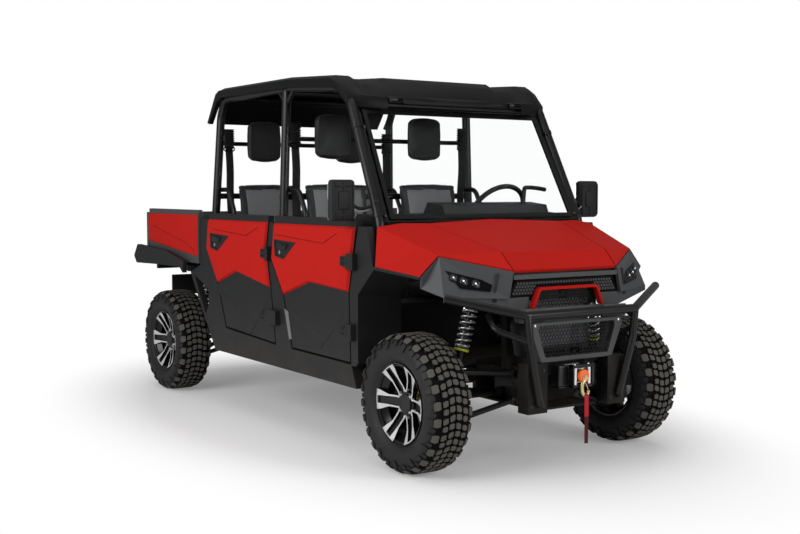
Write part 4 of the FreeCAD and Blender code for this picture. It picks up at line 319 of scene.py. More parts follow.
def clear_glass():
    """Thin clear glass, faintly green."""
    material, tree, shader = new_material("clear_screen")
    green = (0.97, 0.985, 0.98, 1.0)
    tone = add_node(tree, "ShaderNodeGroup", node_tree=TONE, inputs={"Colour": green, "Spread": 0.01})
    tree.links.new(tone.outputs["Colour"], shader.inputs["Base Color"])
    shader.inputs["Roughness"].default_value = 0.02
    shader.inputs["IOR"].default_value = 1.05
    shader.inputs["Transmission Weight"].default_value = 1.0
    return material


GLASS = clear_glass()


# Modelling helpers

def paint(item, *materials):
    """Gives a piece its materials and leaves each face its own material's number."""
    marks = [face.material_index for face in item.data.polygons]
    item.data.materials.clear()
    for material in materials:
        item.data.materials.append(material)
    item.data.polygons.foreach_set("material_index", marks)


def new_piece(name, mesh):
    """An object in the scene for a mesh or curve."""
    item = bpy.data.objects.new(name, mesh)
    bpy.context.scene.collection.objects.link(item)
    return item


def mesh_piece(name, points, faces, materials, marks=None):
    """A piece from points in metres and faces, with a material number for each face."""
    mesh = bpy.data.meshes.new(name)
    mesh.from_pydata([tuple(point) for point in points], [], faces)
    mesh.validate()
    item = new_piece(name, mesh)
    paint(item, *materials)
    if marks:
        mesh.polygons.foreach_set("material_index", marks)
    return item


def ring_faces(low, count):
    """The faces between a ring of points, from the number low on, and the ring that follows it."""
    faces = []
    for index in range(count):
        after = (index + 1) % count
        faces.append((low + index, low + after, low + count + after, low + count + index))
    return faces


def faced_out(item):
    """Turns all faces of a closed piece outwards."""
    shape = bmesh.new()
    shape.from_mesh(item.data)
    bmesh.ops.recalc_face_normals(shape, faces=shape.faces)
    shape.to_mesh(item.data)
    shape.free()
    return item


def smooth(item, degrees):
    """Smooth shading, with edges sharper than the angle left crisp."""
    item.data.shade_smooth()
    item.data.set_sharp_from_angle(angle=math.radians(degrees))
    return item


def built(item):
    """A new mesh of a piece as its modifiers, or its curve, make it."""
    bpy.context.view_layer.update()
    return bpy.data.meshes.new_from_object(item.evaluated_get(bpy.context.evaluated_depsgraph_get()))


def settle(item):
    """Applies the piece's modifiers to its mesh."""
    shape = built(item)
    item.modifiers.clear()
    item.data = shape
    return item


def rounded(item, width, segments=2, degrees=35, crisp=False):
    """Rounds the piece's edges. A crisp piece keeps flat faces flat in shading, so its folds stay clear."""
    bevel = item.modifiers.new("edges", "BEVEL")
    bevel.width = width * MM
    bevel.segments = segments
    bevel.limit_method = "ANGLE"
    bevel.angle_limit = math.radians(degrees)
    if crisp:
        item.data.shade_smooth()
        bevel.harden_normals = True
        return settle(item)
    settle(item)
    return smooth(item, degrees)


def joined(name, items):
    """Several pieces as one object, which keeps each face's material."""
    shape = bmesh.new()
    materials = []
    for item in items:
        start = len(shape.faces)
        numbers = []
        for slot in item.data.materials:
            if slot not in materials:
                materials.append(slot)
            numbers.append(materials.index(slot))
        copy = item.data.copy()
        copy.transform(item.matrix_world)
        shape.from_mesh(copy)
        shape.faces.ensure_lookup_table()
        for face in shape.faces[start:]:
            face.material_index = numbers[min(face.material_index, len(numbers) - 1)] if numbers else 0
        bpy.data.meshes.remove(copy)
    mesh = bpy.data.meshes.new(name)
    shape.to_mesh(mesh)
    shape.free()
    for item in items:
        bpy.data.objects.remove(item)
    result = new_piece(name, mesh)
    paint(result, *materials)
    return result


def curve_piece(name, points, smooth_path, closed=False, steps=12):
    """A curve along points in metres, straight from point to point or bent smoothly between its ends."""
    curve = bpy.data.curves.new(name, "CURVE")
    curve.dimensions = "3D"
    curve.resolution_u = steps
    spline = curve.splines.new("NURBS" if smooth_path else "POLY")
    spline.points.add(len(points) - 1)
    for spot, point in zip(spline.points, points):
        spot.co = (*point, 1.0)
    spline.use_cyclic_u = closed
    if smooth_path:
        spline.order_u = 3
        spline.use_endpoint_u = not closed
    return new_piece(name, curve)


def tube(name, points, radius, material, segments=12, closed=False, smooth_path=False):
    """A round bar or wire along points in metres."""
    item = curve_piece(name, points, smooth_path, closed)
    item.data.bevel_depth = radius * MM
    item.data.bevel_resolution = max(1, segments // 4)
    item.data.use_fill_caps = True
    mesh = built(item)
    bpy.data.objects.remove(item)
    result = new_piece(name, mesh)
    paint(result, material)
    return smooth(result, 40)


def revolve(name, profile, materials, segments, closed=True):
    """A ring turned about the X axis from (x, radius) in millimetres."""
    points = []
    for step in range(segments):
        turn = 2 * math.pi * step / segments
        for x_place, radius in profile:
            points.append((x_place * MM, radius * math.cos(turn) * MM, radius * math.sin(turn) * MM))
    count = len(profile)
    faces = []
    spans = count if closed else count - 1
    for step in range(segments):
        after = (step + 1) % segments
        for index in range(spans):
            following = (index + 1) % count
            near, far = step * count, after * count
            faces.append((near + index, near + following, far + following, far + index))
    return mesh_piece(name, points, faces, materials)


def prism(name, outline, low, high, axis, material):
    """A solid between two copies of a flat outline, across the vehicle or along it, in millimetres."""
    layers = []
    for level in (low, high):
        for run, rise in outline:
            spot = (level, run, rise) if axis == "x" else (run, level, rise)
            layers.append(Vector(spot) * MM)
    count = len(outline)
    faces = [tuple(range(count))[::-1], tuple(range(count, 2 * count))]
    faces += ring_faces(0, count)
    return faced_out(mesh_piece(name, layers, faces, [material]))


def islands(node_name):
    """The separate solids of a node, each as an array of its corners in metres."""
    mesh = frame["nodes"][node_name].data
    shape = bmesh.new()
    shape.from_mesh(mesh)
    bmesh.ops.remove_doubles(shape, verts=shape.verts, dist=1e-6)
    shape.verts.ensure_lookup_table()
    seen = set()
    groups = []
    for start in shape.verts:
        if start in seen:
            continue
        seen.add(start)
        reach = [start]
        for vert in reach:
            for edge in vert.link_edges:
                other = edge.other_vert(vert)
                if other not in seen:
                    seen.add(other)
                    reach.append(other)
        groups.append(np.array([tuple(vert.co) for vert in reach]))
    shape.free()
    return sorted(groups, key=lambda points: (round(points[:, 1].mean(), 2), points[:, 0].mean()))


def mirror_copy(item, name):
    """The same piece on the other side of the vehicle's middle plane."""
    mesh = item.data.copy()
    mesh.transform(item.matrix_world)
    mesh.transform(Matrix.Scale(-1, 4, ACROSS))
    mesh.flip_normals()
    return new_piece(name, mesh)


def tint(item, test):
    """Gives the faces whose middles pass a test the second of the piece's materials."""
    for face in item.data.polygons:
        if test(face.center):
            face.material_index = 1


# Wheels

TYRE_WALL = [
    (0, 316), (30, 316), (58, 315), (78, 311), (92, 303), (102, 291), (110, 276), (113, 256), (111, 236),
    (104, 218), (95, 205), (90, 199), (87, 195), (86, 188), (86, 178)]
PITCHES = 26
TREAD_RADIUS = 330.0
LUG_HEIGHT = 14.5
LUG_ROW = 11
GROOVE_EDGE = 0.302


class TyreWall:
    """The smooth half section of the casing, read by the distance along it from the middle of the tread."""

    def __init__(self, corners):
        dense = []
        spots = [Vector((corners[1][0] * -1, corners[1][1]))] + [Vector(corner) for corner in corners]
        spots.append(spots[-1] * 2 - spots[-2])
        for before, start, end, after in zip(spots, spots[1:], spots[2:], spots[3:]):
            for step in range(12):
                share = step / 12
                dense.append(0.5 * (
                    2 * start + (end - before) * share
                    + (2 * before - 5 * start + 4 * end - after) * share ** 2
                    + (3 * start - before - 3 * end + after) * share ** 3))
        self.spots = dense
        self.along = [0.0]
        for start, end in zip(dense, dense[1:]):
            self.along.append(self.along[-1] + (end - start).length)

    def point(self, distance, lift=0.0):
        """Distance from the middle plane, and radius, at a distance along the wall and a height over it."""
        distance = min(max(distance, 0.0), self.along[-1] - 0.01)
        index = int(np.searchsorted(self.along, distance, side="right")) - 1
        index = min(index, len(self.spots) - 2)
        run = self.spots[index + 1] - self.spots[index]
        place = self.spots[index] + run * ((distance - self.along[index]) / max(run.length, 1e-9))
        outward = Vector((-run.y, run.x)).normalized()
        return place + outward * lift


WALL = TyreWall(TYRE_WALL)


def lug(points, faces, marks, side, first, last, start, end, height=LUG_HEIGHT, skew=0.0, cut=0.28, worn=1):
    """One tread block: its corners cut, its flanks drafted, its top bent to the casing.

    first and last are distances along the casing from its middle, start and end distances round the tread.
    """
    rows = max(2, int((last - first) / LUG_ROW) + 1)
    columns = 3

    def spot(row, column, spread, lift):
        across = row / (rows - 1)
        along = column / (columns - 1)
        edge_row = row in (0, rows - 1)
        edge_column = column in (0, columns - 1)
        if edge_row and edge_column:
            along += cut * (0.5 - along)
        middle_across = 0.5 + (across - 0.5) * spread
        middle_along = 0.5 + (along - 0.5) * spread
        distance = first + (last - first) * middle_across
        round_tread = start + (end - start) * middle_along + skew * (middle_across - 0.5) * (last - first)
        x_place, radius = WALL.point(distance, lift)
        turn = round_tread / TREAD_RADIUS
        return (side * x_place * MM, radius * math.cos(turn) * MM, radius * math.sin(turn) * MM)

    edge = [(0, column) for column in range(columns)] + [(row, columns - 1) for row in range(1, rows)]
    edge += [(rows - 1, column) for column in range(columns - 2, -1, -1)]
    edge += [(row, 0) for row in range(rows - 2, 0, -1)]
    base = len(points)
    count = len(edge)
    for row, column in edge:
        points.append(spot(row, column, 1.06, -3.0))
    for row, column in edge:
        points.append(spot(row, column, 0.99, height - 1.6))
    top = len(points)
    for row in range(rows):
        for column in range(columns):
            points.append(spot(row, column, 0.92, height))

    def top_index(row, column):
        return top + row * columns + column

    flip = side < 0
    for index in range(count):
        after = (index + 1) % count
        flank = (base + index, base + after, base + count + after, base + count + index)
        upper = base + count
        chamfer = (upper + index, upper + after, top_index(*edge[after]), top_index(*edge[index]))
        for quad, number in ((flank, 0), (chamfer, worn)):
            faces.append(quad[::-1] if flip else quad)
            marks.append(number)
    for row in range(rows - 1):
        for column in range(columns - 1):
            spots = ((row, column), (row, column + 1), (row + 1, column + 1), (row + 1, column))
            quad = tuple(top_index(*place) for place in spots)
            faces.append(quad[::-1] if flip else quad)
            marks.append(worn)


def tyre_mesh():
    """Casing with rows of blocks: four small blocks in each middle cluster, single blocks beside it, and
    long and short shoulder blocks that run down the wall."""
    half = [WALL.point(distance) for distance in np.linspace(0, WALL.along[-1] - 0.5, 40)]
    inner = [(80, 178), (80, 186), (100, 230), (103, 262), (92, 296), (60, 306), (0, 308)]
    section = [(-x_place, radius) for x_place, radius in reversed(half)]
    section += [(x_place, radius) for x_place, radius in half[1:]]
    section += inner + [(-x_place, radius) for x_place, radius in reversed(inner[:-1])]
    casing = revolve("casing", section, [TYRE_RUBBER, GROOVE_RUBBER], segments=PITCHES * 5)
    pitch = 2 * math.pi * TREAD_RADIUS / PITCHES
    points = []
    faces = []
    marks = []
    for index in range(PITCHES):
        middle = index * pitch
        for side in (1, -1):
            first = middle + (0.0 if side > 0 else pitch / 2)
            lug(points, faces, marks, side, 4, 31, first - 36, first - 4, skew=0.3)
            lug(points, faces, marks, side, 4, 33, first + 3, first + 33, skew=0.12)
            lug(points, faces, marks, side, 40, 66, first - 22, first + 8, skew=0.3)
            lug(points, faces, marks, side, 40, 64, first + 15, first + 44, skew=0.1)
            reach = 140 if index % 2 else 126
            lug(points, faces, marks, side, 74, 101, first - 22, first + 22, skew=0.12, cut=0.24)
            lug(
                points, faces, marks, side, 103, reach, first - 17, first + 17, skew=0.05, cut=0.2,
                height=8.0, worn=0)
            lug(points, faces, marks, side, 92, 116, first + 30, first + 54, cut=0.3, height=7.0, worn=0)
    blocks = mesh_piece("blocks", points, faces, [TYRE_RUBBER, LUG_RUBBER], marks)
    # The casing's faces out at the tread, between the blocks, take the darker groove rubber: painted shade.
    tint(casing, lambda spot: math.hypot(spot.y, spot.z) > GROOVE_EDGE)
    return smooth(joined("tyre_master", [casing, blocks]), 22)


FACE_X = -93.0
HUB_FACE_X = -52.0
SPOKES = 6


def spoke_depth(radius):
    """How far out the spokes' face lies: deep at the hub and flush with the flange at the rim."""
    share = min(max((radius - 62) / 120, 0.0), 1.0)
    return HUB_FACE_X + (FACE_X - HUB_FACE_X) * (0.35 * share + 0.65 * share ** 1.6)


def spoke_strip(name, edges, lift, back, material, side_material):
    """A bar of a spoke from (radius, near edge, far edge) across its middle line, as deep as back says."""
    points = []
    for radius, near, far in edges:
        face = spoke_depth(radius) - lift
        for across, depth in ((near, face), (far, face), (far, back), (near, back)):
            points.append((depth * MM, across * MM, radius * MM))
    faces = []
    marks = []
    for index in range(len(edges) - 1):
        faces += ring_faces(index * 4, 4)
        marks += [0, 1, 1, 1]
    last = len(points) - 4
    faces += [(3, 2, 1, 0), (last, last + 1, last + 2, last + 3)]
    marks += [1, 1]
    return faced_out(mesh_piece(name, points, faces, [material, side_material], marks))


def rim_mesh():
    """Barrel, six broad spokes with machined edges round a black channel, cap, nuts, hub and brake disc."""
    wall = [
        (-95, 194), (-86, 195), (-85, 180), (-64, 178), (-52, 165), (40, 163), (60, 176), (84, 178),
        (85, 195), (93, 194), (92, 186), (78, 170), (55, 168), (38, 155), (-50, 156), (-66, 171),
        (-82, 184), (-93, 189)]
    barrel = revolve("barrel", wall, [RIM_BLACK], segments=120)
    parts = [smooth(barrel, 30)]
    bright = [(54, 22, 30), (72, 21, 29), (118, 20, 29), (132, 19, 33), (160, 19, 44), (184, 18, 51)]
    for index in range(SPOKES):
        turn = Matrix.Rotation(2 * math.pi * (index + 0.5) / SPOKES, 4, "X")
        pieces = []
        for sign in (1, -1):
            edges = [(radius, near * sign, far * sign) for radius, near, far in bright]
            pieces.append(spoke_strip("rail", edges, 0.0, -30, RIM_SILVER, RIM_BLACK))
        floor = [(56, -18, 18), (126, -21, 21), (184, -21, 21)]
        pieces.append(spoke_strip("channel", floor, -13.0, -30, RIM_BLACK, RIM_BLACK))
        for piece in pieces:
            piece.data.transform(turn)
        parts += pieces
        spread = math.atan2(51, 184)
        points = []
        for step in range(9):
            angle = -spread + 2 * spread * step / 8
            for radius, depth in ((183, FACE_X), (187.5, FACE_X), (187.5, FACE_X + 6), (183, FACE_X + 6)):
                points.append((depth * MM, radius * math.sin(angle) * MM, radius * math.cos(angle) * MM))
        faces = []
        for step in range(8):
            faces += ring_faces(step * 4, 4)
        arc = mesh_piece("arc", points, faces, [RIM_SILVER])
        arc.data.transform(turn)
        parts.append(arc)
    for index in range(SPOKES):
        turn = Matrix.Rotation(2 * math.pi * index / SPOKES, 4, "X")
        vee = [(-9, 56), (9, 56), (17, 72), (12, 74), (0, 61), (-12, 74), (-17, 72)]
        point = prism("vee", vee, HUB_FACE_X - 2, -38, "x", RIM_SILVER)
        point.data.transform(turn)
        parts.append(point)
    profile = [(-51, 0), (-51, 54), (-47, 60), (-28, 62), (-28, 0)]
    centre = revolve("centre", profile, [RIM_BLACK], segments=72, closed=False)
    profile = [(-61, 0), (-61, 40), (-58, 46), (-50, 48), (-50, 0)]
    cap = revolve("cap", profile, [DARK_CAP], segments=48, closed=False)
    parts += [smooth(centre, 30), smooth(cap, 30)]
    disc = revolve("disc", [(8, 60), (8, 117), (14, 117), (14, 60)], [STEEL], segments=72)
    profile = [(-28, 0), (-28, 56), (6, 52), (8, 66), (14, 66), (24, 34), (24, 22)]
    bell = revolve("bell", profile, [ZINC_GOLD], segments=48, closed=False)
    parts += [disc, smooth(bell, 30)]
    for index in range(4):
        turn = Matrix.Rotation(math.pi / 4 + math.pi / 2 * index, 4, "X")
        outline = [(9 * math.cos(math.pi / 3 * k), 47 + 9 * math.sin(math.pi / 3 * k)) for k in range(6)]
        nut = prism("nut", outline, -54, -48, "x", CHROME)
        nut.data.transform(turn)
        parts.append(nut)
    return joined("rim_master", parts)


def wheels():
    """The detailed tyre and rim at each corner; on the left they face the other way."""
    tyre = tyre_mesh()
    rim = rim_mesh()
    for corner in CORNERS:
        centre = Vector(JOINTS[corner + "_wheel_spin"]["pos_m"])
        turn = Matrix.Rotation(math.pi if "left" in corner else 0.0, 4, "Z")
        for kind, master in (("tyre", tyre), ("rim", rim)):
            item = new_piece(f"{corner}_{kind}_dressed", master.data)
            item.matrix_world = Matrix.Translation(centre) @ turn
            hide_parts(f"{corner}_{kind}")
            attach(item, corner + "_wheel")
    bpy.data.objects.remove(tyre)
    bpy.data.objects.remove(rim)


# Finishes of the frame's solids

FINISHES = {
    "front_right_knuckle": CAST_IRON, "front_left_knuckle": CAST_IRON, "rear_knuckles": CAST_IRON,
    "suspension_arms": FRAME_COAT, "chassis_frame": CHASSIS_COAT, "cage_side_hoops": FRAME_COAT,
    "cage_crossbars": FRAME_COAT, "bumper_guard": FRAME_COAT, "windscreen_frame": FRAME_COAT,
    "shock_absorbers": DAMPER_BODY, "steering_rack": FRAME_COAT, "half_shafts": CHASSIS_COAT,
    "coil_springs": SPRING_PAINT, "power_units": BATTERY_CASE, "radiator": RADIATOR_FINS,
    "steering_housings": CHARCOAL, "floor_pan": SILL_PLASTIC, "seat_bases": SILL_PLASTIC,
    "body_sides": SILL_PLASTIC, "front_fascia": CHARCOAL, "rear_flares": SILL_PLASTIC,
    "bed_tub": CHARCOAL, "tailgate": CHARCOAL, "dashboard": SILL_PLASTIC, "roof_panel": ROOF_PLASTIC,
    "mirrors": SILL_PLASTIC, "grille_panel": GROOVE_RUBBER, "grille_meshes": CHARCOAL,
    "lower_bezel": CHARCOAL, "steering_wheel": GRIP_RUBBER, "seat_cushions": SEAT_BLACK,
    "seat_backs": SEAT_GREY, "headrests": SEAT_BLACK, "seat_belts": BELT_WEB, "hook_strap": RED_WEB,
    "windscreen": GLASS, "headlights": LENS_BLACK, "tail_lamps": TAIL_RED, "hood": RED_PAINT,
    "front_fenders": RED_PAINT, "bed_panels": RED_PAINT, "grille_surround": RED_PAINT,
    "winch": WINCH_CASE, "winch_hook": ZINC_GOLD,
}


def finishes():
    """Gives every solid of the frame its finish."""
    for corner in CORNERS:
        FINISHES[corner + "_door"] = SILL_PLASTIC
        FINISHES[corner + "_door_skin"] = RED_PAINT
    for node_name, item in frame["nodes"].items():
        if node_name in FINISHES:
            paint(item, FINISHES[node_name])


# Pieces fixed to the frame

BODY_OF = {name: item.parent.name[len("body:"):] for name, item in frame["nodes"].items()}


def fix(item, body, *nodes):
    """A piece moves with a body and stands for the named nodes."""
    if nodes:
        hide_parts(*nodes)
    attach(item, body)
    return item


WELD = 2e-5
FLAT_DEGREES = 0.8


def softened(node_name, width, degrees=30, crisp=False):
    """The node's own faces with their edges rounded over, as moulded or pressed parts have them."""
    shape = bmesh.new()
    shape.from_mesh(frame["nodes"][node_name].data)
    bmesh.ops.remove_doubles(shape, verts=shape.verts, dist=WELD)
    bmesh.ops.dissolve_limit(
        shape, angle_limit=math.radians(FLAT_DEGREES), verts=shape.verts, edges=shape.edges)
    mesh = bpy.data.meshes.new(node_name + "_dressed")
    shape.to_mesh(mesh)
    shape.free()
    if "custom_normal" in mesh.attributes:
        mesh.attributes.remove(mesh.attributes["custom_normal"])
    item = new_piece(node_name + "_dressed", mesh)
    paint(item, FINISHES[node_name])
    rounded(item, width, 2, degrees, crisp)
    return fix(item, BODY_OF[node_name], node_name)


def both_sides(name, items, body_right, body_left=None):
    """Fixes a piece made for the right-hand side, and its mirror image."""
    item = joined(name + "_right", items) if len(items) > 1 else items[0]
    item.name = name + "_right"
    other = mirror_copy(item, name + "_left")
    fix(item, body_right)
    fix(other, body_left or body_right)


def helix(name, low, high, radius, wire, turns, material):
    """A coil of round wire between two points, its end turns closed up flat."""
    sides, steps = 10, 26
    axis = high - low
    reach = axis.length
    axis.normalize()
    side = axis.orthogonal().normalized()
    other = axis.cross(side)
    count = int(turns * steps)
    flat_share = 0.09
    points = []
    for step in range(count + 1):
        share = step / count
        eased = min(max((share - flat_share) / (1 - 2 * flat_share), 0.0), 1.0)
        rise = wire * MM + (reach - 2 * wire * MM) * (0.9 * eased + 0.1 * share)
        turn = 2 * math.pi * turns * share
        outward = side * math.cos(turn) + other * math.sin(turn)
        centre = low + axis * rise + outward * (radius * MM)
        for index in range(sides):
            angle = 2 * math.pi * index / sides
            points.append(centre + (outward * math.cos(angle) + axis * math.sin(angle)) * (wire * MM))
    faces = []
    for step in range(count):
        faces += ring_faces(step * sides, sides)
    faces.append(tuple(range(sides))[::-1])
    faces.append(tuple(range(count * sides, (count + 1) * sides)))
    return smooth(mesh_piece(name, points, faces, [material]), 50)


def turned_piece(name, profile, start, axis, material, segments=32):
    """A turned piece: its profile as (distance along the axis, radius), from a point along a direction."""
    item = revolve(name, profile, [material], segments=segments, closed=False)
    direction = Vector(axis).normalized()
    spin = Vector(ACROSS).rotation_difference(direction).to_matrix().to_4x4()
    item.data.transform(Matrix.Translation(start) @ spin)
    return smooth(item, 34)


def rod(name, start, axis, radius, length, material, segments=32):
    """A plain round rod from a point in millimetres along a direction."""
    profile = [(0, 0), (0, radius), (length, radius), (length, 0)]
    return turned_piece(name, profile, at(*start), axis, material, segments)


def bent_bar(name, spots, radius, material, segments=12):
    """A round bar bent smoothly along points in millimetres."""
    return tube(name, [at(*spot) for spot in spots], radius, material, segments, smooth_path=True)


def block(name, low, high, material, width, segments=2):
    """A rounded block between two corners in millimetres."""
    low = at(*low)
    high = at(*high)
    points = [(x, y, z) for x in (low.x, high.x) for y in (low.y, high.y) for z in (low.z, high.z)]
    faces = [(0, 1, 3, 2), (4, 6, 7, 5), (0, 4, 5, 1), (2, 3, 7, 6), (0, 2, 6, 4), (1, 5, 7, 3)]
    return rounded(faced_out(mesh_piece(name, points, faces, [material])), width, segments)


def side_prism(name, outline, near, far, material, width):
    """A flat piece on the vehicle's side: outline as (station, height), between two distances across."""
    shift = FRONT_AXLE.y / MM
    item = prism(name, [(run + shift, rise) for run, rise in outline], near, far, "x", material)
    return rounded(item, width)


def front_prism(name, outline, near, far, material, width=1.0, segments=2):
    """A flat piece across the vehicle: its outline as (distance across, height), between two stations."""
    shift = FRONT_AXLE.y / MM
    item = prism(name, outline, near + shift, far + shift, "y", material)
    return rounded(item, width, segments)


def bolt(name, centre, axis, radius, material, head=3.0):
    """A domed screw head with its washer, standing on a face."""
    profile = [(0, 0), (0, radius * 1.5), (0.8, radius * 1.5), (0.8, radius)]
    profile += [(head * 0.6, radius * 0.92), (head, radius * 0.5), (head, 0)]
    return turned_piece(name, profile, centre, axis, material, segments=14)


def inside(point, outline):
    """Whether a flat point lies in an outline."""
    hit = False
    for start, end in zip(outline, outline[1:] + outline[:1]):
        if (start[1] > point[1]) != (end[1] > point[1]):
            if point[0] < (end[0] - start[0]) * (point[1] - start[1]) / (end[1] - start[1]) + start[0]:
                hit = not hit
    return hit


def edge_distance(point, outline):
    """The distance from a flat point to an outline's nearest edge."""
    best = 1e9
    for start, end in zip(outline, outline[1:] + outline[:1]):
        run = (end[0] - start[0], end[1] - start[1])
        share = (point[0] - start[0]) * run[0] + (point[1] - start[1]) * run[1]
        share /= run[0] ** 2 + run[1] ** 2
        share = min(max(share, 0.0), 1.0)
        best = min(best, math.dist(point, (start[0] + run[0] * share, start[1] + run[1] * share)))
    return best


# Nose

UPPER_MESH = [(-209, 776), (209, 776), (179, 853), (166, 860), (-166, 860), (-179, 853)]
OPENING = [(-209, 776), (-179, 853), (-166, 860), (166, 860), (179, 853), (209, 776)]
LOWER_MESH = [(-196, 552), (196, 552), (240, 676), (236, 700), (-236, 700), (-240, 676)]
SURROUND = [(-224, 776), (-190, 862), (-174, 874), (174, 874), (190, 862), (224, 776)]
PANEL = [(-350, 828), (-300, 915), (300, 915), (350, 828), (224, 828), (224, 776), (-224, 776), (-224, 828)]
SCREEN_PITCH = 19.5
RELIEF_PITCH = 17.5
RELIEF_STEPS = ((0.84, -303.5), (0.78, -306.4), (0.6, -307.4), (0.3, -306.0))
SKIRT = [
    (222, -304, 764), (222, -304, 830), (345, -304, 832), (345, -304, 764), (640, -204, 842),
    (640, -204, 815)]
SKIRT_FACES = [
    (0, 1, 2, 3), (3, 2, 4, 5), (9, 8, 7, 6), (11, 10, 8, 9), (0, 3, 9, 6), (3, 5, 11, 9), (5, 4, 10, 11),
    (4, 2, 8, 10), (2, 1, 7, 8), (1, 0, 6, 7)]


def clipped(start, end, outline):
    """The part of a segment inside a convex outline that runs anticlockwise, or nothing."""
    low, high = 0.0, 1.0
    run = (end[0] - start[0], end[1] - start[1])
    for corner, after in zip(outline, outline[1:] + outline[:1]):
        normal = (-(after[1] - corner[1]), after[0] - corner[0])
        distance = (start[0] - corner[0]) * normal[0] + (start[1] - corner[1]) * normal[1]
        slope = run[0] * normal[0] + run[1] * normal[1]
        if abs(slope) < 1e-9:
            if distance < 0:
                return None
        elif slope > 0:
            low = max(low, -distance / slope)
        else:
            high = min(high, -distance / slope)
    if high - low < 0.02:
        return None
    return tuple((start[0] + run[0] * share, start[1] + run[1] * share) for share in (low, high))


def hexagon(centre, radius):
    """The corners of an upright hexagon round a flat point."""
    corners = []
    for index in range(6):
        angle = math.pi / 6 + math.pi / 3 * index
        corners.append((centre[0] + radius * math.cos(angle), centre[1] + radius * math.sin(angle)))
    return corners


def honeycomb(name, outline, pitch, wall, near, far, material):
    """A screen of hexagonal cells: its walls as bars along the cells' edges, cut at the outline."""
    radius = pitch / math.sqrt(3)
    edges = {}
    rises = [rise / (1.5 * radius) for _, rise in outline]
    rows = range(int(min(rises)) - 1, int(max(rises)) + 2)
    reach = max(abs(run) for run, _ in outline) + pitch
    for row in rows:
        for column in range(-int(reach / pitch) - 1, int(reach / pitch) + 2):
            centre = (column * pitch + (pitch / 2 if row % 2 else 0), row * 1.5 * radius)
            corners = hexagon(centre, radius)
            for start, end in zip(corners, corners[1:] + corners[:1]):
                ends = [(round(spot[0], 1), round(spot[1], 1)) for spot in (start, end)]
                edges[tuple(sorted(ends))] = (start, end)
    points = []
    faces = []
    for start, end in edges.values():
        part = clipped(start, end, outline)
        if not part:
            continue
        run = Vector(part[1]) - Vector(part[0])
        run.normalize()
        side = Vector((-run.y, run.x)) * (wall / 2)
        base = len(points)
        for level in (near, far):
            for spot, sign in ((part[0], 1), (part[1], 1), (part[1], -1), (part[0], -1)):
                place = Vector(spot) + side * sign + run * (wall * 0.28 * (1 if spot is part[1] else -1))
                points.append(at(place.x, level, place.y))
        faces += [(base, base + 1, base + 2, base + 3), (base + 7, base + 6, base + 5, base + 4)]
        faces += ring_faces(base, 4)
    return faced_out(mesh_piece(name, points, faces, [material]))


def hexagon_relief():
    """Raised hexagons on the panel round the upper opening."""
    radius = RELIEF_PITCH / math.sqrt(3)
    points = []
    faces = []
    for row in range(40, 62):
        for column in range(-22, 23):
            centre = ((column + (0.5 if row % 2 else 0)) * RELIEF_PITCH, row * 1.5 * radius)
            if not inside(centre, PANEL) or inside(centre, SURROUND):
                continue
            if edge_distance(centre, PANEL) < 10 or edge_distance(centre, SURROUND) < 8:
                continue
            base = len(points)
            for size, level in RELIEF_STEPS:
                corners = hexagon(centre, radius * size)
                points += [at(across, level, rise) for across, rise in corners]
            for ring in range(3):
                faces += ring_faces(base + ring * 6, 6)
            faces.append(tuple(base + 18 + k for k in range(6)))
    fix(smooth(mesh_piece("panel_relief", points, faces, [CHARCOAL]), 25), "body")


def nose_screens():
    """Fine honeycomb screens in both openings."""
    fronts = [(points[:, 1].min() - FRONT_AXLE.y) / MM for points in islands("grille_meshes")]
    screens = []
    for outline, front in ((UPPER_MESH, max(fronts)), (LOWER_MESH, min(fronts))):
        screens.append(honeycomb("screen", outline, SCREEN_PITCH, 3.0, front, front + 3, FRAME_COAT))
    fix(joined("nose_screens", screens), "body", "grille_meshes")


def grille_surround():
    """The red surround of the upper opening, its edges broadly rounded."""
    outline = SURROUND + OPENING[::-1]
    item = front_prism("surround_dressed", outline, -338, -304, RED_PAINT, 3.0, 3)
    fix(item, "body", "grille_surround")


def nose_liners():
    """Dark liners, skirts and ears that close the nose behind and beside its openings."""
    back = [(-420, 812), (-400, 944), (400, 944), (420, 812)]
    band = [(-318, 716), (-328, 776), (328, 776), (318, 716)]
    liners = [
        front_prism("liner", back, -286, -283, SILL_PLASTIC),
        front_prism("band", band, -330, -318, CHARCOAL, 3)]
    for sign in (-1, 1):
        points = [at(sign * run, depth + shift, rise) for shift in (0, 3) for run, depth, rise in SKIRT]
        faces = SKIRT_FACES if sign > 0 else [face[::-1] for face in SKIRT_FACES]
        liners.append(mesh_piece("skirt", points, faces, [CHARCOAL]))
        low, high = sorted((sign * 190, sign * 336))
        liners.append(block("ear", (low, -374, 718), (high, -366, 776), CHARCOAL, 2))
    for sign in (-1, 1):
        outline = ((228, 540), (240, 716), (300, 760), (330, 700), (300, 560))
        side = [(sign * run, rise) for run, rise in outline]
        liners.append(front_prism("side_liner", side, -300, -297, SILL_PLASTIC))
    fix(joined("nose_liner", liners), "body")


def radiator():
    """Radiator with upright tubes between its two tanks."""
    parts = []
    for index in range(40):
        x_place = -195 + 10 * index
        low = (x_place - 1.1, -251.5, 585)
        high = (x_place + 1.1, -248, 855)
        parts.append(block("tube", low, high, RADIATOR_FINS, 0.6, 1))
    for low, high in ((560, 584), (856, 880)):
        parts.append(block("tank", (-205, -254, low), (205, -211, high), WINCH_CASE, 5, 3))
    parts.append(block("core", (-203, -249.5, 580), (203, -214, 860), RADIATOR_FINS, 1, 1))
    fix(joined("radiator_dressed", parts), "body", "radiator")


LAMP_CORNER = (-604, -158, 960)
LAMP_NORMAL = Vector((0.3154, 0.8144, -0.4871))
LAMP_SPOTS = ((-576, -190, 927, 15), (-536, -213, 910, 17), (-486, -241, 898, 17))


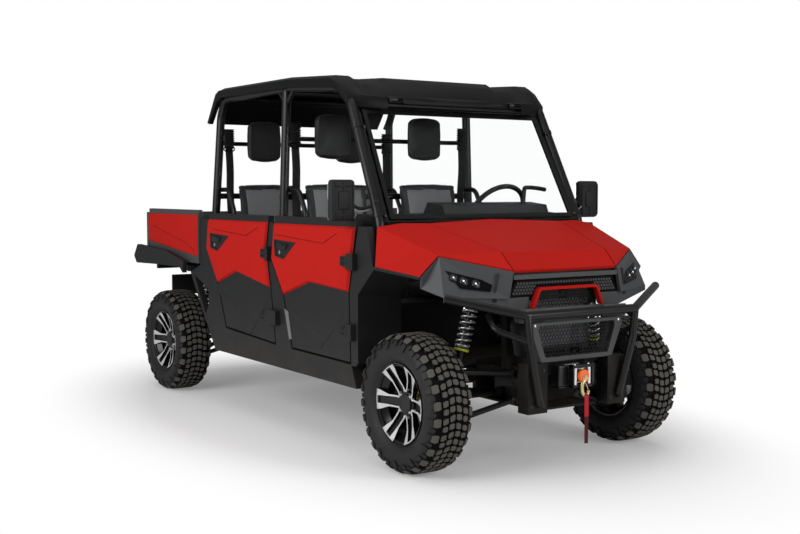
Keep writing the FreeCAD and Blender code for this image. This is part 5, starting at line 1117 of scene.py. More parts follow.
def lamps():
    """Three projectors in each black headlamp, on its slanting face; a small glowing white disc in each is a
    painted highlight.
    """
    parts = []
    outward = -LAMP_NORMAL
    for x_place, y_place, z_place, radius in LAMP_SPOTS:
        centre = at(x_place, y_place, z_place)
        centre -= LAMP_NORMAL * (centre - at(*LAMP_CORNER)).dot(LAMP_NORMAL)
        shell = [(-1, radius + 5), (2.2, radius + 4), (3.0, radius + 1), (0.5, radius - 2)]
        parts.append(turned_piece("ring", shell, centre, outward, RIM_BLACK, 40))
        dome = [(0.2, radius - 1), (2.6, radius * 0.8), (4.2, radius * 0.5), (4.8, 0)]
        parts.append(turned_piece("dome", dome, centre, outward, LAMP_GLASS, 40))
        # The small glowing white disc in each projector's middle is a painted highlight.
        spot = [(4.3, radius * 0.27), (5.1, radius * 0.2), (5.3, 0)]
        parts.append(turned_piece("spot", spot, centre, outward, PAINTED_HIGHLIGHT_WHITE, 20))
    both_sides("projectors", parts, "body")


def guard_details():
    """Mounting tabs and screws of the guard, its tow eyes and the screws of the bezel."""
    parts = []
    for z_place in (330, 495):
        for x_place in (-285, -212):
            parts.append(bolt("screw", at(x_place, -404, z_place), TO_NOSE, 6, FRAME_COAT))
    parts.append(block("tab", (-330, -446, 735), (-312, -420, 770), FRAME_COAT, 2))
    eye = [(-247, -408, 366), (-247, -432, 360), (-247, -438, 348), (-247, -432, 336), (-247, -408, 332)]
    parts.append(bent_bar("eye", eye, 7, FRAME_COAT))
    parts.append(bolt("bezel_screw", at(-262, -398, 704), TO_NOSE, 4.5, CHROME))
    both_sides("guard_fittings", parts, "body")


def winch():
    """Electric winch: motor and gear ends with tie bars, drum with rope, roller fairlead and stopper."""
    parts = []
    for low, high in ((-115, -58), (60, 115)):
        parts.append(block("end", (low, -398, 404), (high, -334, 508), WINCH_CASE, 9, 4))
    parts.append(rod("drum", (-58, -366, 456), ACROSS, 30, 118, STEEL))
    ring = [Vector((0, math.cos(k * math.pi / 12), math.sin(k * math.pi / 12))) * 0.034 for k in range(24)]
    for index in range(11):
        centre = at(-50 + 10 * index, -366, 456)
        parts.append(tube("wrap", [centre + spot for spot in ring], 4.6, ROPE_GREY, closed=True))
    for y_place, z_place in ((-392, 498), (-340, 498), (-392, 414)):
        parts.append(rod("tie", (-60, y_place, z_place), ACROSS, 6, 120, STEEL, 16))
    for low, high in ((402, 416), (496, 510)):
        parts.append(block("plate", (-62, -438, low), (62, -404, high), FRAME_COAT, 2))
    for sign in (-1, 1):
        low, high = sorted((sign * 56, sign * 62))
        parts.append(block("cheek", (low, -438, 402), (high, -404, 510), FRAME_COAT, 1.5))
        parts.append(rod("roller", (sign * 43, -429, 417), UPWARD, 9.5, 78, CHROME))
        parts.append(bolt("pin", at(sign * 43, -426, 509), UPWARD, 6, CHROME, 5))
    for z_place in (424, 488):
        parts.append(rod("bar", (-54, -411, z_place), ACROSS, 7.5, 108, CHROME))
    parts.append(block("foot", (-115, -400, 400), (115, -332, 405), FRAME_COAT, 1.5))
    fix(joined("winch_dressed", parts), "body", "winch")
    collar = [(0, 8), (0, 27), (3, 31.5), (15, 31.5), (20, 28), (23, 10), (23, 7)]
    fix(turned_piece("rope_stopper", collar, at(0, -430, 456), TO_NOSE, ORANGE_RUBBER, 48), "body")


HOOK_Y = -453


def winch_hook():
    """The rope's hook in yellow zinc, with its latch, eye and pin."""
    bend = (
        (0, 462), (-1, 446), (-6, 436), (-18, 424), (-21, 404), (-17, 380), (-6, 366), (6, 364), (17, 374),
        (19, 388))
    latch = [at(17, HOOK_Y - 1, 392), at(8, HOOK_Y - 2, 412), at(-4, HOOK_Y - 1, 430)]
    ring = [(-6, 5), (-6, 11), (6, 11), (6, 5), (-6, 5)]
    parts = [
        bent_bar("bar", [(x_place, HOOK_Y, z_place) for x_place, z_place in bend], 8.5, ZINC_GOLD),
        tube("latch", latch, 2.2, ZINC_GOLD, 8),
        turned_piece("eye", ring, at(0, HOOK_Y, 450), TO_REAR, ZINC_GOLD, 24),
        rod("pin", (-15, HOOK_Y, 450), ACROSS, 5, 30, CHROME, 16)]
    fix(joined("hook_dressed", parts), "body", "winch_hook")


STRIP_SECTION = ((-1, -0.6), (-0.94, -1), (0.94, -1), (1, -0.6), (1, 0.6), (0.94, 1), (-0.94, 1), (-1, 0.6))


def strip_along(name, points, widths, thick, across, material, turns=None):
    """A flat strap along points in metres; it may narrow and twist on its way."""
    layers = []
    count = len(points)
    for index, point in enumerate(points):
        before = points[max(index - 1, 0)]
        after = points[min(index + 1, count - 1)]
        run = (after - before).normalized()
        share = index / (count - 1)
        side = (Vector(across) - run * Vector(across).dot(run)).normalized()
        if turns:
            side = Matrix.Rotation(turns(share), 3, run) @ side
        normal = run.cross(side)
        half = widths(share) * MM / 2
        deep = thick * MM / 2
        for sign, level in STRIP_SECTION:
            layers.append(point + side * (half * sign) + normal * (deep * level))
    faces = [tuple(range(8))[::-1], tuple(range(len(layers) - 8, len(layers)))]
    for index in range(count - 1):
        faces += ring_faces(index * 8, 8)
    return smooth(faced_out(mesh_piece(name, layers, faces, [material])), 50)


def spline_points(name, points):
    """The line of a smooth spline through its control points, as the curve itself gives it."""
    item = curve_piece(name, points, True, steps=24)
    line = [vert.co.copy() for vert in built(item).vertices]
    bpy.data.objects.remove(item)
    return line


STRAP_ROUTE = ((0, -463.5, 370), (0, -463.5, 330), (0, -463.5, 250), (0, -463.5, 190), (0, -463.5, 140))
STRAP_WIDTH = 26.0
FOLD_START = 0.42
TAIL_HEIGHT = 0.268


def pull_strap():
    """The strap hangs from the hook, its lower half folded narrow."""
    line = spline_points("strap_route", [at(*spot) for spot in STRAP_ROUTE])

    def width(share):
        return STRAP_WIDTH - 8.0 * min(max((share - FOLD_START) / 0.2, 0.0), 1.0)

    def twist(share):
        return math.radians(30) * math.sin(max(share - 0.45, 0.0) * 5)

    strap = strip_along("pull_strap", line, width, 3.0, ACROSS, RED_WEB, twist)
    # Below TAIL_HEIGHT the strap takes the much darker red.
    strap.data.materials.append(RED_TAIL)
    tint(strap, lambda spot: spot.z < TAIL_HEIGHT)
    fix(strap, "body", "hook_strap")
    loop = [(-10, -458, 366), (-10, -463, 374), (10, -463, 374), (10, -458, 366)]
    fix(bent_bar("strap_loop", loop, 2.2, RED_WEB, 8), "body")


# Doors

DOOR_PARTS = {
    "front": {
        "recess": [(1236, 1057), (990, 1048), (1126, 955), (1225, 967)],
        "crease": [(1215, 1086), (698, 1058), (560, 1113)],
        "folds": [[(1050, 500), (755, 504), (520, 690)], [(1094, 668), (738, 554)]],
        "hinge": 446, "latch": (1180, 1010)},
    "rear": {
        "recess": [(2073, 1066), (1815, 1055), (1972, 963), (2068, 979)],
        "crease": [(2048, 1096), (1585, 1069), (1437, 1118)],
        "folds": [[(1871, 520), (1560, 498), (1330, 720)], [(2005, 712), (1780, 650), (1560, 566)]],
        "hinge": 1318, "latch": (2020, 1020)},
}
DOOR_FACE = 752.0
LOWER_FACE = 740.0
BED_FACE = 753.0
HINGE_FACE = 768.0
HINGE_HEIGHTS = (975, 625)


def fold_line(name, corners, face, reach, lift, material):
    """A crease pressed into a side panel: a sharp lower edge and a long slope above it."""
    points = []
    count = len(corners)
    for index, (run, rise) in enumerate(corners):
        taper = 0.12 if index in (0, count - 1) else 1.0
        peak = lift * taper
        for upward, out in ((-2.0, -0.3), (0.0, peak), (reach * 0.5, peak * 0.55), (reach, -0.3)):
            points.append(at(-(face + out), run, rise + upward))
    faces = []
    for index in range(count - 1):
        low = index * 4
        faces += [(low + k, low + k + 1, low + 5 + k, low + 4 + k) for k in range(3)]
    item = faced_out(mesh_piece(name, points, faces, [material]))
    if sum(face.normal.x for face in item.data.polygons) > 0:
        item.data.flip_normals()
    return smooth(item, 25)


def crease_shadow_line(name, corners, face):
    """A painted shadow line under a crease: a thin dark red tube."""
    points = [at(-(face + 0.3), run, rise - 2.5) for run, rise in corners]
    return tube(name, points, 1.5, RED_CREASE_SHADOW, 8)


def shrunk(outline, inset):
    """An outline with each corner moved towards its middle by some millimetres."""
    middle = Vector((sum(run for run, _ in outline), sum(rise for _, rise in outline))) / len(outline)
    result = []
    for corner in outline:
        away = middle - Vector(corner)
        result.append(tuple(Vector(corner) + away.normalized() * inset))
    return result


def door_details():
    """Creases of the skins and lower shells, recessed latches with their paddles, and hinge screws."""
    for place, facts in DOOR_PARTS.items():
        bodies = (f"{place}_right_door_body", f"{place}_left_door_body")
        painted = [fold_line("crease", facts["crease"], DOOR_FACE, 16, 3.2, RED_PAINT)]
        # The thin dark line under each crease is a painted shadow.
        painted.append(crease_shadow_line("seam", facts["crease"], DOOR_FACE))
        both_sides(f"{place}_door_creases", painted, *bodies)
        lower = []
        for corners in facts["folds"]:
            lower.append(fold_line("fold", corners, LOWER_FACE, 50, 3.0, SILL_PLASTIC))
        both_sides(f"{place}_door_folds", lower, *bodies)
        parts = []
        rim = [Vector(corner) for corner in shrunk(facts["recess"], -3)]
        inner = [Vector(corner) for corner in shrunk(facts["recess"], 9)]
        points = []
        for ring, out in ((rim, 0.2), (rim, 2.4), (inner, 1.4), (inner, -6)):
            points += [at(-(DOOR_FACE + out), corner.x, corner.y) for corner in ring]
        faces = []
        count = len(rim)
        for level in range(3):
            faces += ring_faces(level * count, count)
        faces.append(tuple(3 * count + k for k in range(count)))
        parts.append(rounded(faced_out(mesh_piece("cup", points, faces, [SILL_PLASTIC])), 1.2, 2))
        run, rise = facts["latch"]
        paddle = [(run + 34, rise + 30), (run - 96, rise + 24), (run - 66, rise - 4), (run + 30, rise - 2)]
        parts.append(side_prism("paddle", paddle, -(DOOR_FACE - 5), -(DOOR_FACE + 1.0), FRAME_COAT, 2.2))
        parts.append(bolt("lock", at(-(DOOR_FACE - 5.5), run + 4, rise - 22), TO_RIGHT, 8, STEEL, 4))
        both_sides(f"{place}_door_latch", parts, *bodies)
        screws = []
        fixed = []
        for height in HINGE_HEIGHTS:
            for lift in (-13, 13):
                for kept, reach in ((screws, 28), (screws, 48), (fixed, -28)):
                    place_at = at(-HINGE_FACE, facts["hinge"] + reach, height + lift)
                    kept.append(bolt("screw", place_at, TO_RIGHT, 5, FRAME_COAT))
        both_sides(f"{place}_hinge_screws", screws, *bodies)
        both_sides(f"{place}_post_screws", fixed, "body")
    outline = [(1140, 684), (1096, 668), (1056, 524), (1086, 518)]
    insert = side_prism("insert", outline, -739, -743.5, SATIN_GREY, 1.5)
    both_sides("front_door_insert", [insert], "front_right_door_body", "front_left_door_body")


# Cabin

BELTS = (1300, 2155)
BELT_LOOP = ((-34, 1592), (-38, 1574), (0, 1560), (38, 1574), (34, 1592))


def ribbed_boot(name, top, bottom, width, depth, ribs, material):
    """A ribbed sleeve round a strap: rings of a rounded oblong that swell and shrink."""
    points = []
    rings = ribs * 4
    around = 20
    for ring in range(rings + 1):
        share = ring / rings
        centre = top + (bottom - top) * share
        swell = 1.0 + 0.15 * math.cos(2 * math.pi * ribs * share)
        for index in range(around):
            angle = 2 * math.pi * index / around
            flatten = abs(math.cos(angle)) ** 0.6 * math.copysign(1, math.cos(angle))
            lifted = abs(math.sin(angle)) ** 0.6 * math.copysign(1, math.sin(angle))
            spot = Vector((flatten * width, lifted * depth, 0)) * (MM / 2 * swell)
            points.append(centre + spot)
    faces = [tuple(range(around)), tuple(range(rings * around, (rings + 1) * around))[::-1]]
    for ring in range(rings):
        faces += ring_faces(ring * around, around)
    return smooth(faced_out(mesh_piece(name, points, faces, [material])), 60)


def belts():
    """Webbing from the pillars to the seat bases, with ribbed boots, guide loops and stowed tongues."""
    parts = []
    for station in BELTS:
        for sign in (-1, 1):
            top = at(582 * sign, station, 1688)
            bottom = at(562 * sign, station, 700)
            line = [top + (bottom - top) * (index / 40) for index in range(41)]
            for index, point in enumerate(line):
                point.y += 0.004 * math.sin(index * 0.5)
            parts.append(strip_along("web", line, lambda share: 50.0, 2.4, ACROSS, BELT_WEB))
            top = at(583 * sign, station, 1704)
            bottom = at(581 * sign, station, 1592)
            parts.append(ribbed_boot("boot", top, bottom, 66, 32, 8, GRIP_RUBBER))
            loop = [at((582 + run) * sign, station - 3, rise) for run, rise in BELT_LOOP]
            parts.append(tube("loop", loop, 4.0, FRAME_COAT, 10, closed=True, smooth_path=True))
            near, far = 560 * sign - 14, 560 * sign + 14
            parts.append(block("tongue", (near, station - 7, 905), (far, station - 1, 950), STEEL, 2))
            near, far = near - 4, far + 4
            parts.append(block("stop", (near, station - 8, 950), (far, station, 985), GRIP_RUBBER, 4, 3))
            near, far = sorted((584 * sign, 632 * sign))
            parts.append(block("guide", (near, station - 6, 1676), (far, station + 8, 1700), FRAME_COAT, 3))
    fix(joined("belts_dressed", parts), "body", "seat_belts")


def hand_wheel():
    """Steering wheel: padded grip, three spokes and a cap, square to its column."""
    tilt = math.radians(32)
    centre = at(335, 648, 1197)
    axis = Vector((0, -math.cos(tilt), -math.sin(tilt)))
    across = Vector(ACROSS)
    up = across.cross(axis)

    def outward(turn):
        return across * math.cos(turn) + up * math.sin(turn)

    def spoke_width(share):
        return 44 - 18 * math.sin(math.pi * share)

    ring = [centre + outward(k * math.pi / 36) * 0.178 for k in range(72)]
    parts = [tube("grip", ring, 14, GRIP_RUBBER, 20, closed=True)]
    for degrees in (0, 90, 180):
        direction = outward(math.radians(degrees))
        line = []
        for step in range(9):
            bow = axis * (0.006 * math.sin(math.pi * step / 8))
            line.append(centre + direction * (0.02 + 0.148 * step / 8) + bow)
        parts.append(strip_along("spoke", line, spoke_width, 7, direction.cross(axis), GRIP_RUBBER))
    pad = [(-17, 0), (-17, 30), (-13, 38), (-6, 42), (14, 42), (17, 39), (17, 0)]
    parts.append(turned_piece("pad", pad, centre, axis, GRIP_RUBBER, 40))
    cap = [(-19, 0), (-19, 15), (-17, 18), (-16.5, 18)]
    parts.append(turned_piece("cap", cap, centre, axis, DARK_CAP, 32))
    fix(joined("hand_wheel_dressed", parts), "hand_wheel", "steering_wheel")


def dash_details():
    """Screen, switches, vents and glovebox on the dash."""
    parts = [
        block("screen_shell", (40, 556, 1090), (210, 600, 1196), CHARCOAL, 8, 3),
        block("screen", (52, 598, 1102), (198, 601.5, 1184), LENS_BLACK, 3)]
    for index in range(6):
        x_place = -20 - 30 * (index % 3)
        z_place = 1110 + 40 * (index // 3)
        low = (x_place - 11, 574, z_place - 15)
        high = (x_place + 11, 598, z_place + 15)
        parts.append(block("switch", low, high, GRIP_RUBBER, 3))
    parts.append(block("lid", (-560, 560, 985), (-180, 578, 1120), SILL_PLASTIC, 8, 3))
    latch = [(0, 0), (0, 16), (6, 14), (8, 0)]
    parts.append(turned_piece("lid_latch", latch, at(-370, 577, 1095), TO_REAR, STEEL))
    vent = [(0, 26), (0, 34), (6, 33), (8, 28), (2, 26)]
    for x_place in (-590, 590):
        parts.append(turned_piece("vent", vent, at(x_place, 592, 1140), TO_REAR, FRAME_COAT))
        for rise in (1125, 1134, 1144, 1153):
            low = (x_place - 24, 590, rise)
            parts.append(block("slat", low, (x_place + 24, 598, rise + 3), FRAME_COAT, 1))
    fix(joined("dash_fittings", parts), "body")


def cabin_controls():
    """The passenger's grab bar, the column's levers and the pedals."""
    bend = [(432, 528, 1262), (440, 532, 1330), (452, 536, 1344), (560, 548, 1338), (612, 556, 1330)]
    foot = [(0, 0), (0, 22), (5, 20), (8, 14), (8, 0)]
    grab = [
        bent_bar("grab", bend, 12, GRIP_RUBBER, 16),
        turned_piece("foot", foot, at(432, 528, 1255), UPWARD, FRAME_COAT)]
    fix(joined("grab_bar", grab), "body")
    levers = []
    for sign in (-1, 1):
        bend = [(335 + 20 * sign, 618, 1180), (335 + 90 * sign, 628, 1196), (335 + 128 * sign, 636, 1204)]
        levers.append(bent_bar("lever", bend, 5, GRIP_RUBBER, 10))
    fix(joined("column_levers", levers), "body")
    pedals = []
    for x_place, width in ((270, 26), (375, 36)):
        low = (x_place - width, 520, 520)
        pedals.append(block("pedal", low, (x_place + width, 534, 590), GRIP_RUBBER, 4))
        arm = [(x_place, 524, 570), (x_place, 500, 700), (x_place, 470, 860)]
        pedals.append(bent_bar("arm", arm, 7, FRAME_COAT, 10))
    fix(joined("pedals", pedals), "body")


def mirror_details():
    """Mirror heads: ribbed backs, glass behind, and a wire arm to the pillar."""
    parts = [block("shell", (-877, 396, 1175), (-737, 446, 1379), SILL_PLASTIC, 20, 5)]
    for x_place, reach in ((-862, 84), (-807, 92), (-752, 84)):
        low = (x_place - 4, 391, 1277 - reach)
        parts.append(block("rib", low, (x_place + 4, 400, 1277 + reach), SILL_PLASTIC, 2.5))
    parts.append(block("boss", (-838, 389, 1232), (-776, 400, 1322), SILL_PLASTIC, 6, 3))
    for z_place in (1205, 1349):
        parts.append(block("bar", (-856, 392, z_place - 5), (-758, 400, z_place + 5), SILL_PLASTIC, 2.5))
    parts.append(block("glass", (-869, 443, 1184), (-745, 449.5, 1370), MIRROR_GLASS, 4, 3))
    stalk = [(-745, 424, 1262), (-724, 420, 1240), (-700, 402, 1236), (-668, 378, 1246), (-650, 368, 1250)]
    parts.append(bent_bar("stalk", stalk, 8, FRAME_COAT, 14))
    wire = [(-748, 400, 1236), (-728, 398, 1222), (-700, 392, 1222), (-672, 380, 1232)]
    parts.append(bent_bar("wire", wire, 4.5, STEEL, 10))
    parts.append(tube("clamp", [at(-658, 358, 1266), at(-640, 348, 1266)], 15, FRAME_COAT, 16))
    both_sides("mirror_dressed", parts, "body")
    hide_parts("mirrors")


def roof_details():
    """Small lamps in the roof's two front notches, its rear lip, and the clamps on the pillars."""
    parts = [
        block("lamp_box", (-436, 548, 1776), (-352, 600, 1806), FRAME_COAT, 5, 3),
        block("lamp_lens", (-430, 545, 1781), (-358, 550, 1801), LENS_BLACK, 2)]
    both_sides("roof_lamps", parts, "body")
    lip = [(2148, 1898), (2162, 1910), (2284, 1746), (2272, 1738)]
    fix(side_prism("roof_rear_lip", lip, -588, 588, ROOF_PLASTIC, 3), "body")
    clamps = []
    band = [(-9, 25.4), (-9, 28.5), (9, 28.5), (9, 25.4)]
    low = Vector((-648, 312, 1150))
    high = Vector((-622, 625, 1770))
    run = (high - low).normalized()
    for share in (0.08, 0.8):
        spot = low + (high - low) * share
        clamps.append(turned_piece("band", band, at(*spot), run, FRAME_COAT, 32))
        near = spot + Vector((18, -30, -9))
        clamps.append(block("lug", near, spot + Vector((34, -12, 9)), FRAME_COAT, 3))
    both_sides("pillar_clamps", clamps, "body")


def bed_details():
    """Ribs of the bed's floor and head wall, tie-down eyes, side creases, the gate's handle and panels."""
    parts = []
    for index in range(9):
        x_place = -560 + 140 * index
        parts.append(block("rib", (x_place - 22, 2312, 882), (x_place + 22, 3060, 889), CHARCOAL, 3))
    for index in range(8):
        x_place = -595 + 170 * index
        parts.append(block("head_rib", (x_place - 14, 2288, 900), (x_place + 14, 2299, 1130), CHARCOAL, 3))
    for sign in (-1, 1):
        for station in (2420, 2900):
            bend = ((698, -16, 1080), (684, -16, 1066), (684, 16, 1066), (698, 16, 1080))
            eye = [(sign * out, station + along, rise) for out, along, rise in bend]
            parts.append(bent_bar("eye", eye, 3.5, STEEL, 10))
    fix(joined("bed_fittings", parts), "cargo_bed")
    gate = [
        block("handle", (-90, 3124, 1060), (90, 3131, 1120), FRAME_COAT, 6, 3),
        block("pull", (-62, 3129, 1074), (62, 3134, 1100), GRIP_RUBBER, 5, 3)]
    for sign in (-1, 1):
        low, high = sorted((sign * 150, sign * 640))
        gate.append(block("panel", (low, 3124, 940), (high, 3129, 1130), CHARCOAL, 5, 3))
    fix(joined("gate_fittings", gate), "gate")
    corners = [(2985, 1093), (2420, 991), (2310, 948)]
    crease = fold_line("bed_crease", corners, BED_FACE, 44, 2.6, RED_PAINT)
    # The thin dark line under the bed's crease is a painted shadow.
    both_sides("bed_creases", [crease, crease_shadow_line("seam", corners, BED_FACE)], "cargo_bed")


def tail_details():
    """Tail lamps: a bezel with a ribbed lens."""
    parts = [block("bezel", (-538, 3143, 648), (-382, 3156, 727), FRAME_COAT, 5, 3)]
    parts.append(block("lens", (-528, 3150, 657), (-392, 3162, 718), TAIL_RED, 7, 4))
    for index in range(7):
        x_place = -516 + 18.5 * index
        parts.append(block("rib", (x_place - 1.5, 3160, 662), (x_place + 1.5, 3163, 713), TAIL_RED, 1, 1))
    both_sides("tail_lamp_dressed", parts, "body")
    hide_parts("tail_lamps")


LOW_EYE = (455, 493.3)
HIGH_EYE = (372, 792)
COIL = {"radius": 32.5, "wire": 5.5, "turns": 7.2}


def springs():
    """Round-wire springs over the dampers, each with a yellow adjuster below and a bump stop inside."""
    collar = [(-20, 26), (-20, 35), (-18, 37), (-2, 37), (0.5, 35), (0.5, 26)]
    stop = [(0, 10), (0, 17), (14, 19), (20, 14), (26, 17), (32, 10)]
    for index, points in enumerate(islands("coil_springs")):
        middle = points.mean(axis=0)
        sign = 1 if middle[0] > 0 else -1
        direction = Vector(((HIGH_EYE[0] - LOW_EYE[0]) * sign, 0, HIGH_EYE[1] - LOW_EYE[1])).normalized()
        low_eye = Vector((LOW_EYE[0] * sign * MM, middle[1], LOW_EYE[1] * MM))
        some = points[:: max(1, len(points) // 400)]
        along = [(Vector(point) - low_eye).dot(direction) for point in some]
        low = low_eye + direction * min(along)
        high = low_eye + direction * max(along)
        parts = [helix("wire", low, high, COIL["radius"], COIL["wire"], COIL["turns"], SPRING_PAINT)]
        parts.append(turned_piece("adjuster", collar, low, direction, ADJUSTER_YELLOW, 36))
        parts.append(turned_piece("bump", stop, low + direction * 0.07, direction, GRIP_RUBBER, 24))
        fix(joined(f"spring_{index}", parts), "body", "coil_springs")


# Seats

SEAT_MIDDLE = 320.0
SEATS_APART = 0.64
ROW_PITCH = 0.855
HEAD_BARS = (1376, 2236)
CLOTH_PRESSURE = 4.0
CLOTH_STEPS = 20
CLOTH_SHARE = 0.5
EASE_ROUNDS = 30


def corners_of(item):
    """The corners of a piece's mesh as an array."""
    return np.array([tuple(vert.co) for vert in item.data.vertices])


def move_corners(item, points):
    """Puts the corners of a piece's mesh at new places."""
    item.data.vertices.foreach_set("co", points.ravel())
    item.data.update()


def soft_block(name, low, high, crown, material, cuts=10, squareness=0.86):
    """A cushion's starting form: a box whose top and foot crown in their middles, its corners drawn in."""
    centre = (Vector(low) + Vector(high)) / 2
    half = (Vector(high) - Vector(low)) / 2
    shape = bmesh.new()
    bmesh.ops.create_cube(shape, size=2.0)
    bmesh.ops.subdivide_edges(shape, edges=shape.edges, cuts=cuts, use_grid_fill=True)
    for vert in shape.verts:
        spot = vert.co
        length = max(abs(spot.x), abs(spot.y), abs(spot.z))
        ball = spot.normalized() * length
        mixed = spot * squareness + ball * (1 - squareness)
        middle = (1 - mixed.x ** 2) * (1 - mixed.y ** 2)
        lift = crown * max(middle, 0.0)
        vert.co = Vector((mixed.x * half.x, mixed.y * half.y, mixed.z * (half.z + lift)))
    mesh = bpy.data.meshes.new(name)
    shape.to_mesh(mesh)
    shape.free()
    item = new_piece(name, mesh)
    item.location = centre
    bpy.context.view_layer.update()
    item.data.transform(item.matrix_world)
    item.matrix_world = Matrix.Identity(4)
    paint(item, material)
    return item


def inflate(item, voxel, cap):
    """Fills a soft form by a short cloth simulation under pressure, and limits how far it may swell."""
    remesh = item.modifiers.new("even", "REMESH")
    remesh.mode = "VOXEL"
    remesh.voxel_size = voxel * MM
    settle(item)
    before = corners_of(item)
    cloth = item.modifiers.new("fill", "CLOTH")
    cloth.settings.use_pressure = True
    cloth.settings.uniform_pressure_force = CLOTH_PRESSURE
    cloth.settings.effector_weights.gravity = 0.0
    cloth.settings.quality = 5
    cloth.settings.mass = 0.3
    cloth.point_cache.frame_start = 1
    cloth.point_cache.frame_end = CLOTH_STEPS
    for step in range(1, CLOTH_STEPS + 1):
        bpy.context.scene.frame_set(step)
    settle(item)
    bpy.context.scene.frame_set(1)
    shift = (corners_of(item) - before) * CLOTH_SHARE
    ends = np.array([tuple(edge.vertices) for edge in item.data.edges])
    count = np.maximum(np.bincount(ends.ravel(), minlength=len(before)), 1)[:, None]
    for _ in range(EASE_ROUNDS):
        total = np.zeros_like(shift)
        np.add.at(total, ends[:, 0], shift[ends[:, 1]])
        np.add.at(total, ends[:, 1], shift[ends[:, 0]])
        shift = (shift + total / count) * 0.5
    length = np.linalg.norm(shift, axis=1)
    limit = cap * MM
    scale = np.where(length > limit, limit / np.maximum(length, 1e-9), 1.0)
    move_corners(item, before + shift * scale[:, None])
    ease = item.modifiers.new("ease", "SMOOTH")
    ease.factor = 0.5
    ease.iterations = 4
    settle(item)
    return smooth(item, 80)


def fitted(item, low, high):
    """Scales a soft piece so that it fills a box, in millimetres from the front axle."""
    points = corners_of(item)
    start = points.min(axis=0)
    reach = points.max(axis=0) - start
    low = np.array(at(*low))
    high = np.array(at(*high))
    move_corners(item, low + (points - start) / reach * (high - low))


def pressed_lines(item, lines, depth, width):
    """Sewn channels: corners near a place along an axis sink towards the inside of the piece."""
    item.data.update()
    points = corners_of(item)
    normals = np.array([tuple(vert.normal) for vert in item.data.vertices])
    pull = np.zeros(len(points))
    for axis, place in lines:
        pull = np.maximum(pull, np.exp(-((points[:, axis] - place) / (width * MM)) ** 2))
    move_corners(item, points - normals * (pull * depth * MM)[:, None])


def seat_copies(master, prefix, row_pitch, materials, node_name, marked=None):
    """A soft piece at each of the four seats. Faces that marked picks, by their distance from the seat's
    middle and their height, take the second finish."""
    for side, x_shift in (("l", 0.0), ("r", -SEATS_APART)):
        middle = SEAT_MIDDLE * MM + x_shift
        for row, y_shift in (("f", 0.0), ("r", row_pitch)):
            item = new_piece(prefix + row + side, master.data.copy())
            item.data.transform(Matrix.Translation((x_shift, y_shift, 0)))
            paint(item, *materials)
            if marked:
                tint(item, lambda spot: marked(abs(spot.x - middle), spot.z))
            fix(item, "body")
    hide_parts(node_name)
    bpy.data.objects.remove(master)


def seat_cushions():
    """Crowned cushions with a grey middle between two sewn channels."""
    cushion = soft_block("cushion_master", at(117, 872, 706.5), at(523, 1298, 804), 0.006, SEAT_BLACK)
    inflate(cushion, 6.0, 22)
    fitted(cushion, (106, 861, 700.6), (534, 1309, 819.5))
    pressed_lines(cushion, [(0, at(212, 0, 0).x), (0, at(428, 0, 0).x)], 5.0, 5.0)
    seat_copies(
        cushion, "cushion_", ROW_PITCH, (SEAT_BLACK, SEAT_GREY), "seat_cushions",
        lambda across, height: across < 0.1)


def seat_backs():
    """Leaning backs with a black top and sides round a grey panel, with sewn channels."""
    back = soft_block("back_master", at(132, 1192, 826), at(508, 1262, 1352), 0.004, SEAT_GREY, cuts=12)
    inflate(back, 6.0, 22)
    fitted(back, (126, 1186, 822), (514, 1270, 1362))
    level = [(2, at(0, 0, height).z) for height in (1016, 1160, 1330)]
    upright = [(0, at(run, 0, 0).x) for run in (162, 478)]
    pressed_lines(back, level + upright, 4.5, 4.5)
    foot, tall, lean = 0.822, 0.54, 0.074
    points = corners_of(back)
    share = (points[:, 2] - foot) / tall
    middle = at(0, 1230, 0).y
    points[:, 1] = middle + (points[:, 1] - middle) * (1.06 - 0.3 * share) + lean * share
    move_corners(back, points)
    seat_copies(
        back, "back_", ROW_PITCH, (SEAT_GREY, SEAT_BLACK), "seat_backs",
        lambda across, height: height > 1.33 or across > 0.158)


def headrests():
    """Head pads with cut corners, and their clamps round the bar behind them."""
    pad = soft_block(
        "head_master", at(206, 1302, 1516), at(434, 1356, 1748), 0.004, SEAT_BLACK, cuts=12,
        squareness=0.72)
    inflate(pad, 5.0, 22)
    half_wide, half_high, reach = 0.119, 0.126, 1.52
    for vert in pad.data.vertices:
        across = (vert.co.x - SEAT_MIDDLE * MM) / half_wide
        upward = (vert.co.z - 1.632) / half_high
        spread = abs(across) + abs(upward)
        if spread > reach:
            vert.co.x += (reach / spread - 1.0) * across * half_wide
            vert.co.z += (reach / spread - 1.0) * upward * half_high
    fitted(pad, (203, 1297.5, 1505), (437, 1362, 1761))
    seat_copies(pad, "head_", (HEAD_BARS[1] - HEAD_BARS[0]) * MM, (SEAT_BLACK,), "headrests")
    clamps = []
    for x_place in (-390, -250, 250, 390):
        for station in HEAD_BARS:
            low = (x_place - 20, station - 17, 1590)
            clamps.append(block("plate", low, (x_place + 20, station - 12, 1646), FRAME_COAT, 1.5))
            ends = [at(x_place - 14, station, 1618), at(x_place + 14, station, 1618)]
            clamps.append(tube("clamp", ends, 16.5, FRAME_COAT, 20))
    fix(joined("head_clamps", clamps), "body")


BORDER = 24


def glass_border():
    """The printed black edge of the windscreen."""
    lift = Vector((0, -4.2, 1.5))
    corners = ((-598, 303, 1184), (598, 303, 1184), (576, 606, 1740), (-576, 606, 1740))
    outer = [Vector(spot) for spot in corners]
    up = Vector((0, 303, 556)).normalized()
    inner = []
    for spot, across, rise in zip(outer, (1, -1, -1, 1), (1, 1, -1, -1)):
        inner.append(spot + (Vector((across, 0, 0)) + up * rise) * BORDER)
    points = [at(*(spot + lift)) for spot in outer + inner]
    fix(mesh_piece("screen_border", points, ring_faces(0, 4), [FRAME_COAT]), "body")


